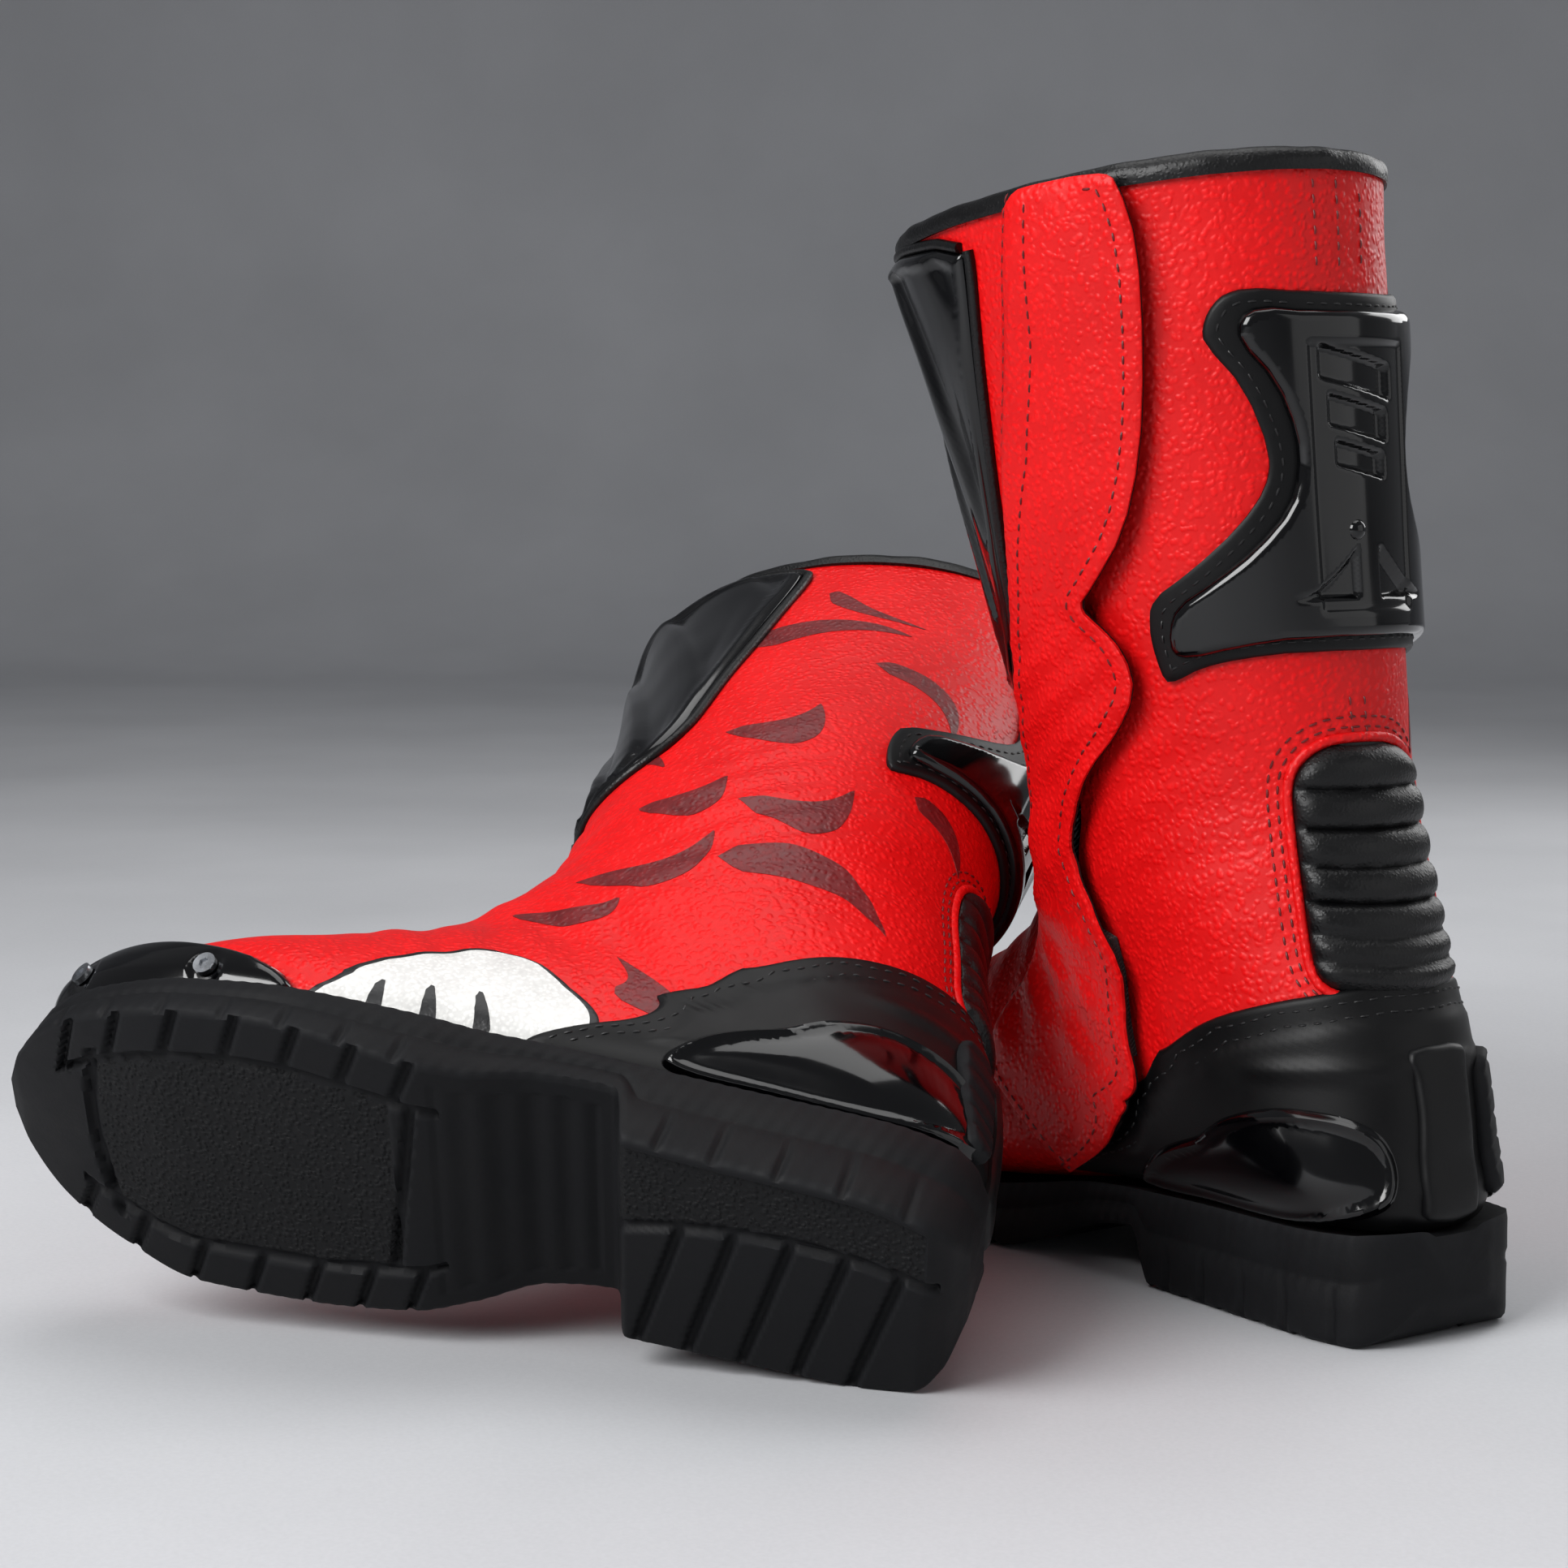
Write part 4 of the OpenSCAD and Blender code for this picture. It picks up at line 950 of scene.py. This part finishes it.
def makeHeel(side):
    def allRound(rail):
        return rail + [(t, 360 - a) for t, a in rail[-2::-1]]
    outline = allRound(heel["top"]) + allRound(heel["base"])[::-1]
    shape = patch(outline, cupTop, level(.15), 1.9, 2, (.4, 1.0, 1.8), soft=.3)
    piece(side, "heel_cup", shape, finishes["satinPlastic"], replaced=("heel_cup",),
          sharp=45)

    def lens(away, t, a):
        rim = 1.5 * np.exp(-((away - 2.2) / 1.3) ** 2)
        edge = np.sqrt(1 - (1 - np.clip(away / 1.8, 0, 1)) ** 2)
        dish = np.clip((away - 3.5) / 9, 0, 1)
        return 2.3 + 1.5 * edge + rim * edge + .9 * dish * (2 - dish)
    both = [patch(loop, lens, level(1.9), 1.3, 2, (.4, 1.0, 2.0, 3.0), soft=.3)
            for loop in (heel["oval"], mirrored(heel["oval"]))]
    piece(side, "heel_window", joined(both), finishes["glossPlastic"], replaced=("heel_gloss",),
          sharp=60)

    def pillar(away, t, a):
        return 2.2 + 2.6 * np.sqrt(1 - (1 - np.clip(away / 2.0, 0,
                                                    1)) ** 2) + .5 * np.sin(np.clip((t - 5) / 1.7, 0,
                                                                                    1) * math.pi)
    piece(side, "heel_column", patch(heel["column"], pillar, level(1.9), 1.5, 1, (.5, 1.2, 2.0), soft=.3),
          finishes["satinPlastic"], sharp=50)

    def block(away, t, a):
        grip = .5 * (np.abs(((t * 4) % 1) - .5) < .14)
        return 2.2 + (4.4 - grip) * np.sqrt(1 - (1 - np.clip(away / 1.8, 0, 1)) ** 2)
    piece(side, "heel_bumper", patch(heel["bumper"], block, level(1.9), 1.3, 2, (.5, 1.2, 1.8), soft=.3),
          finishes["treadRubber"], replaced=("heel_bumper",), sharp=50)
    rail = evenly(toPlan(allRound(heel["top"])), 2.0, False)
    rows = []
    tangent = np.gradient(rail, axis=0)
    tangent /= np.linalg.norm(tangent, axis=1, keepdims=True)
    normal = np.stack([tangent[:, 1], -tangent[:, 0]], 1)
    if normal[len(normal) // 2, 0] < 0:
        normal = -normal
    for d in (3.0, 6.4):
        rows.append(stitches((rail + normal * d)[3:-3], 2.06, plan=True, soft=.3))
    return rows


toeGuard = {"outline": [(14.35, 229), (14.42, 250), (14.4, 272), (14.3, 289), (13.6, 292), (12.6, 289),
                        (11.8, 281),
                        (11.2, 269), (11.02, 255), (11.1, 242), (11.35, 234), (12, 231), (12.8, 229),
                        (13.6, 228)],
            "height": 4.6, "crown": 1.5, "screws": [(11.75, 262), (13.55, 268)]}


def guardTop(away, t, a):
    edge = np.clip(away / 2.6, 0, 1)
    h = .3 + toeGuard["height"] * np.sqrt(1 - (1 - edge) ** 2) + toeGuard["crown"] * np.clip(away / 12, 0, 1)
    p = lastPoint(t, a)
    for st, sa in toeGuard["screws"]:
        c = lastPoint(np.array([float(st)]), np.array([float(sa)]))[0]
        r = np.linalg.norm(p - c, axis=1)
        h = np.where(r < 6.5, np.minimum(h, 5.0 + 1.2 * np.clip((r - 4.4) / 1.2, 0, 1)), h)
    return h


def makeToe(side):
    shape = patch(toeGuard["outline"], guardTop, level(.15), 1.1, 2, (.4, .9, 1.6, 2.4), soft=.2)
    piece(side, "toe_guard", shape, finishes["glossPlastic"], replaced=("toe_slider",),
          sharp=40)


panel = {   # outer side of the forefoot: white panel with a plain border and three slanted bars
    "outline": [(11.3, 211), (11.2, 232), (10.95, 254), (10.5, 272), (9.9, 284), (8.62, 293), (8.3, 286),
                (8.5, 268),
                (8.9, 244), (9.45, 219), (10.1, 211)],
    "border": 2.2,
    # one tapered bar as steps in row and angle from its middle, and the rows the bars sit at
    "bar": [(.22, -15), (-.02, 12), (-.2, 19), (-.1, 10), (.08, -15)],
    "barRows": (10.42, 10.02, 9.62), "barAngle": 249,
}


def makePanel(side):
    plan = evenly(cutCorners(toPlan(panel["outline"]), 1), 1.5)
    piece(side, "panel_border", patch(plan, rounded(.45, .5, .1), level(.05), 1.8, 0, (.5,), plan=True),
          finishes["panelInk"])
    inner = insetLine(plan, panel["border"])
    piece(side, "panel_white", patch(inner, rounded(.3, .4, .5), level(.35), 1.8, 0, (.5,), plan=True),
          finishes["whitePanel"])
    bars = joined([patch([(row + t, panel["barAngle"] + a) for t, a in panel["bar"]], level(.88), level(.6),
                         1.0, 1)
                   for row in panel["barRows"]])
    piece(side, "panel_bars", bars, finishes["panelInk"])


ink = {   # tapered blades printed on the outer side: root, tip, width mm, bend mm
    "blades": [((.43, 274), (.78, 246), 8, 5), ((1.05, 294), (.97, 250), 18, -7),
               ((1.28, 254), (1.8, 229), 13, -8),
               ((2.3, 287), (1.88, 268), 21, 6), ((3.25, 305), (2.78, 284), 20, 5),
               ((3.15, 276), (2.68, 250), 23, 7),
               ((2.45, 228), (2.85, 206), 13, -5), ((5.3, 312), (3.6, 283), 17, 5),
               ((3.9, 276), (4.5, 237), 26, -12),
               ((8.1, 268), (7.2, 290), 16, 3), ((5.7, 259), (5.25, 244), 9, 2),
               ((6.9, 318), (5.6, 300), 13, 3),
               ((12.6, 216), (11.7, 232), 8, 2), ((.25, 225), (.52, 205), 12, 5),
               ((2.2, 330), (2.62, 305), 13, -4)],
}


def makeInk(side):
    shapes = []
    for root, tip, width, bend in ink["blades"]:
        a, b = toPlan([root, tip])
        along = b - a
        length = np.linalg.norm(along)
        along = along / length
        across = np.array([-along[1], along[0]])
        s = np.linspace(0, 1, 22)
        mid = a + along * (s * length)[:, None] + across * (bend * np.sin(s * math.pi * .9) * 1.2)[:, None]
        half = width * .5 * (1 - s) ** .8 * (.35 + .65 * np.clip(s * 5, 0, 1))
        half = np.maximum(half, .18)
        loop = np.concatenate([mid + across * (half * 1.5)[:, None],
                               (mid - across * (half * .5)[:, None])[::-1]])
        shapes.append(patch(loop, level(.16), level(-.3), 1.9, 0, plan=True))
    piece(side, "leather_print", joined(shapes), finishes["inkedLeather"], sharp=80)


sole = {
    # x, outer edge, inner edge, tread height, top height
    "outline": np.array([
        [-52, -14, 14, 13, 33.2], [-48, -25, 25, 4, 33], [-41, -32, 32, 0, 32.2], [-20, -37, 36, 0, 31],
        [20, -38.5, 37, 0, 30], [43, -40, 37.5, 0, 29], [52, -41, 37, 17, 28.4], [72, -43, 38, 14, 26.6],
        [92, -46, 43, 5, 22.9], [110, -50, 48, .5, 19.8], [145, -54, 54, 0, 15.3], [178, -50, 56, 0, 14.4],
        [203, -40, 49, 2.5, 16.4], [222, -27, 39, 6, 20.2], [235, -10, 25, 10, 24.6], [240, 1, 15, 13, 26]],
        float),
    "cell": .92, "cols": 100, "grooveEdge": 1.25, "grooveDeep": 2.6, "padDeep": 1.0,
    "lugs": [108, 124, 141, 159, 178, 197, 214], "heelBars": (-30, -14, 2, 18, 33),
    "heelNotches": [-36, -18, 0, 18, 34], "ribPitch": 9, "inset": 1.6,
}


def easedTable(x, xs, ys):
    # smooth curve that never overshoots its points
    h, d = np.diff(xs), np.diff(ys) / np.diff(xs)
    m = np.zeros(len(xs))
    for i in range(1, len(xs) - 1):
        if d[i - 1] * d[i] > 0:
            m[i] = 2 * d[i - 1] * d[i] / (d[i - 1] + d[i])
    m[0], m[-1] = d[0], d[-1]
    i = np.clip(np.searchsorted(xs, x, side="right") - 1, 0, len(xs) - 2)
    s = (x - xs[i]) / h[i]
    return ((2 * s ** 3 - 3 * s ** 2 + 1) * ys[i] + (s ** 3 - 2 * s ** 2 + s) * h[i] * m[i]
            + (3 * s ** 2 - 2 * s ** 3) * ys[i + 1] + (s ** 3 - s ** 2) * h[i] * m[i + 1])


def treadCut(x, y, outer, inner):
    # depth of the tread pattern at a point under the sole, and whether it lies in a rough pad
    edge = np.minimum(y - outer, inner - y)
    dip = lambda gap, half: np.clip((half + sole["grooveEdge"] - gap) / sole["grooveEdge"], 0, 1)
    lines, rough = [], np.zeros_like(x)
    # forefoot: a rim of lugs round a rough pad
    fore = (x > 98) & (x < 226)
    rim = dip(np.abs(edge - 17), .9) * fore * (x < 214)
    lines.append(rim)
    for c in sole["lugs"]:
        slant = c + .35 * (edge - 8) * np.where(y > 2, -1, 1)
        lines.append(dip(np.abs(x - slant), .8) * (edge < 17.5) * (x > 98))
    rough = np.where((edge > 18.4) & (x > 112) & (x < 206), 1.0, rough)
    # cross bars behind and before the pad
    lines.append(dip(np.abs(x - 110 - .12 * y), .9) * (edge > 16))
    lines.append(dip(np.abs(x - 208 + .004 * y * y), .9) * (edge > 12))
    # heel: a rough pad on the outer half, slanting bars on the inner half
    inHeel = x < 46.5
    seam = -8 + .32 * (x - 40) + .0032 * (x - 46) ** 2
    lines.append(dip(np.abs(y - seam), .9) * inHeel * (x > -46))
    for c in sole["heelBars"]:
        lines.append(dip(np.abs(x - c - .28 * (y - 10)), .9) * inHeel * (y > seam))
    rough = np.where(inHeel & (y < seam - 1.8) & (edge > 3.2) & (x > -42), 1.0, rough)
    # arch: shallow ribs
    arch = (x > 56) & (x < 100) & (edge > 7)
    ribs = .8 * (np.sin(x * 2 * np.pi / sole["ribPitch"]) * .5 + .5) * arch
    cut = np.maximum.reduce(lines) * sole["grooveDeep"]
    cut = cut + rough * sole["padDeep"] * np.clip((edge - 3) / .8, 0, 1)
    return np.maximum(cut, ribs), rough


def makeSole(side):
    o = sole["outline"]
    xs = np.unique(np.concatenate([np.arange(-52, 240, sole["cell"]), [240.0]]))
    outer, inner, low, top = [easedTable(xs, o[:, 0], o[:, k]) for k in (1, 2, 3, 4)]
    v = np.linspace(0, 1, sole["cols"])
    gridX = np.repeat(xs[:, None], len(v), 1)
    inset = sole["inset"]
    gridY = (outer + inset)[:, None] + (inner - outer - 2 * inset)[:, None] * v[None]
    cutBy, rough = treadCut(gridX, gridY, outer[:, None] * np.ones_like(gridX),
                            inner[:, None] * np.ones_like(gridX))
    room = np.clip((top - low - 5)[:, None], .3, 9)
    cutBy = np.minimum(cutBy, room)
    pebble = np.sin(gridX * 2.3 + np.sin(gridY * 1.7)) * np.sin(gridY * 2.1 + np.sin(gridX * 1.9)) * .5 + .5
    gridZ = low[:, None] + cutBy + rough * .35 * pebble
    bottom = np.stack([gridX, gridY, gridZ], 2)

    def wall(edge, sgn):
        # side wall from the tread up: chamfer, lug slots, a waist line and the top lip
        parts = []
        height = top + 1.4 - low
        slot = np.zeros_like(xs)
        for c in sole["lugs"] + sole["heelNotches"]:
            slot = np.maximum(slot, np.clip((1.5 - np.abs(xs - c - (2.2 if c > 60 else 0))) / .7, 0, 1))
        for f, push in ((.0, .35), (.1, 0), (.3, 0), (.5, 0), (.55, .7), (.6, .7), (.65, 0), (.8, .1),
                        (.93, .05), (1, .5)):
            deep = slot * (1.1 if f < .5 else 0)
            grain = .12 * np.sin(xs * 1.3 + f * 9)
            y = edge + sgn * (push + deep) + sgn * grain
            z = low + height * f
            z = np.where(f == 0, low + 1.1, z)
            parts.append(np.stack([xs, y, np.maximum(z, low + 1.1)], 1))
        return np.stack(parts, 1)
    innerWall = wall(inner, -1)
    outerWall = wall(outer, 1)
    cap = []
    for k in np.linspace(0, 1, 8):
        w = min(k, 1 - k)
        y = inner - 3.0 + (outer + 3.0 - (inner - 3.0)) * k
        cap.append(np.stack([xs, y, top + np.clip(.9 - w * 12, -1.0, .9)], 1))
    cap = np.stack(cap, 1)
    grid = np.concatenate([bottom, innerWall, cap, outerWall[:, ::-1]], 1)
    rows, n = grid.shape[:2]
    points = np.concatenate([grid.reshape(-1, 3), grid[0].mean(0)[None], grid[-1].mean(0)[None]])
    faces, padFaces = [], []
    for i in range(rows - 1):
        for j in range(n):
            q = (j + 1) % n
            faces.append((i * n + j, i * n + q, (i + 1) * n + q, (i + 1) * n + j))
            padFaces.append(j < len(v) - 1 and rough[i, j] + rough[i + 1, j] + rough[i, j + 1] > 2.5)
    for j in range(n):
        q = (j + 1) % n
        faces += [(rows * n, q, j), (rows * n + 1, (rows - 1) * n + j, (rows - 1) * n + q)]
        padFaces += [False, False]
    obj = piece(side, "outsole", (points, faces), finishes["treadRubber"], replaced=("outsole",),
                sharp=58)
    obj.data.materials.append(finishes["pittedRubber"])
    obj.data.polygons.foreach_set("material_index", np.array(padFaces, dtype=np.int32))


def seamRows():
    # thread down the back of the leg, above and below the calf armour
    ends = [((.05, 168), (.5, 168)), ((.05, 176), (.5, 176)), ((2.42, 171), (2.66, 171)),
            ((2.42, 177), (2.66, 177)), ((.1, 185), (.5, 185))]
    return [stitches(list(pair), .12) for pair in ends]


carried = {   # CAD pieces that stay, with their finish
    "shank": "fibreBoard", "insole": "sockCloth", "gusset": "wovenTape", "toe_stiffener": "fibreBoard",
    "heel_counter": "fibreBoard", "zip_tape": "wovenTape", "zip_teeth": "zipTeeth", "zip_slider": "zipMetal",
    "zip_pull": "zipMetal", "flap_hooks": "hookTape", "shaft_loops": "hookTape", "toe_screws": "screwSteel",
}

for side in ("right", "left"):
    makeLeg(side)
    print(side, "leather and lining")
    makeCollar(side)
    makeFlap(side)
    print(side, "collar and flap")
    makeShin(side)
    blackRows = [makeCalf(side)]
    redRows = makeTendon(side)
    blackRows += makeHeel(side)
    makeToe(side)
    print(side, "armour")
    makePanel(side)
    makeInk(side)
    piece(side, "red_stitching", joined(redRows + seamRows()), finishes["redThread"])
    piece(side, "black_stitching", joined(blackRows), finishes["blackThread"])
    makeSole(side)
    print(side, "sole and stitching")
    for part, finish in carried.items():
        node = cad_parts[side + "_" + part]
        for s in node.material_slots:
            s.material = finishes[finish]
        if not node.material_slots:
            node.data.materials.append(finishes[finish])

print("boots finished")
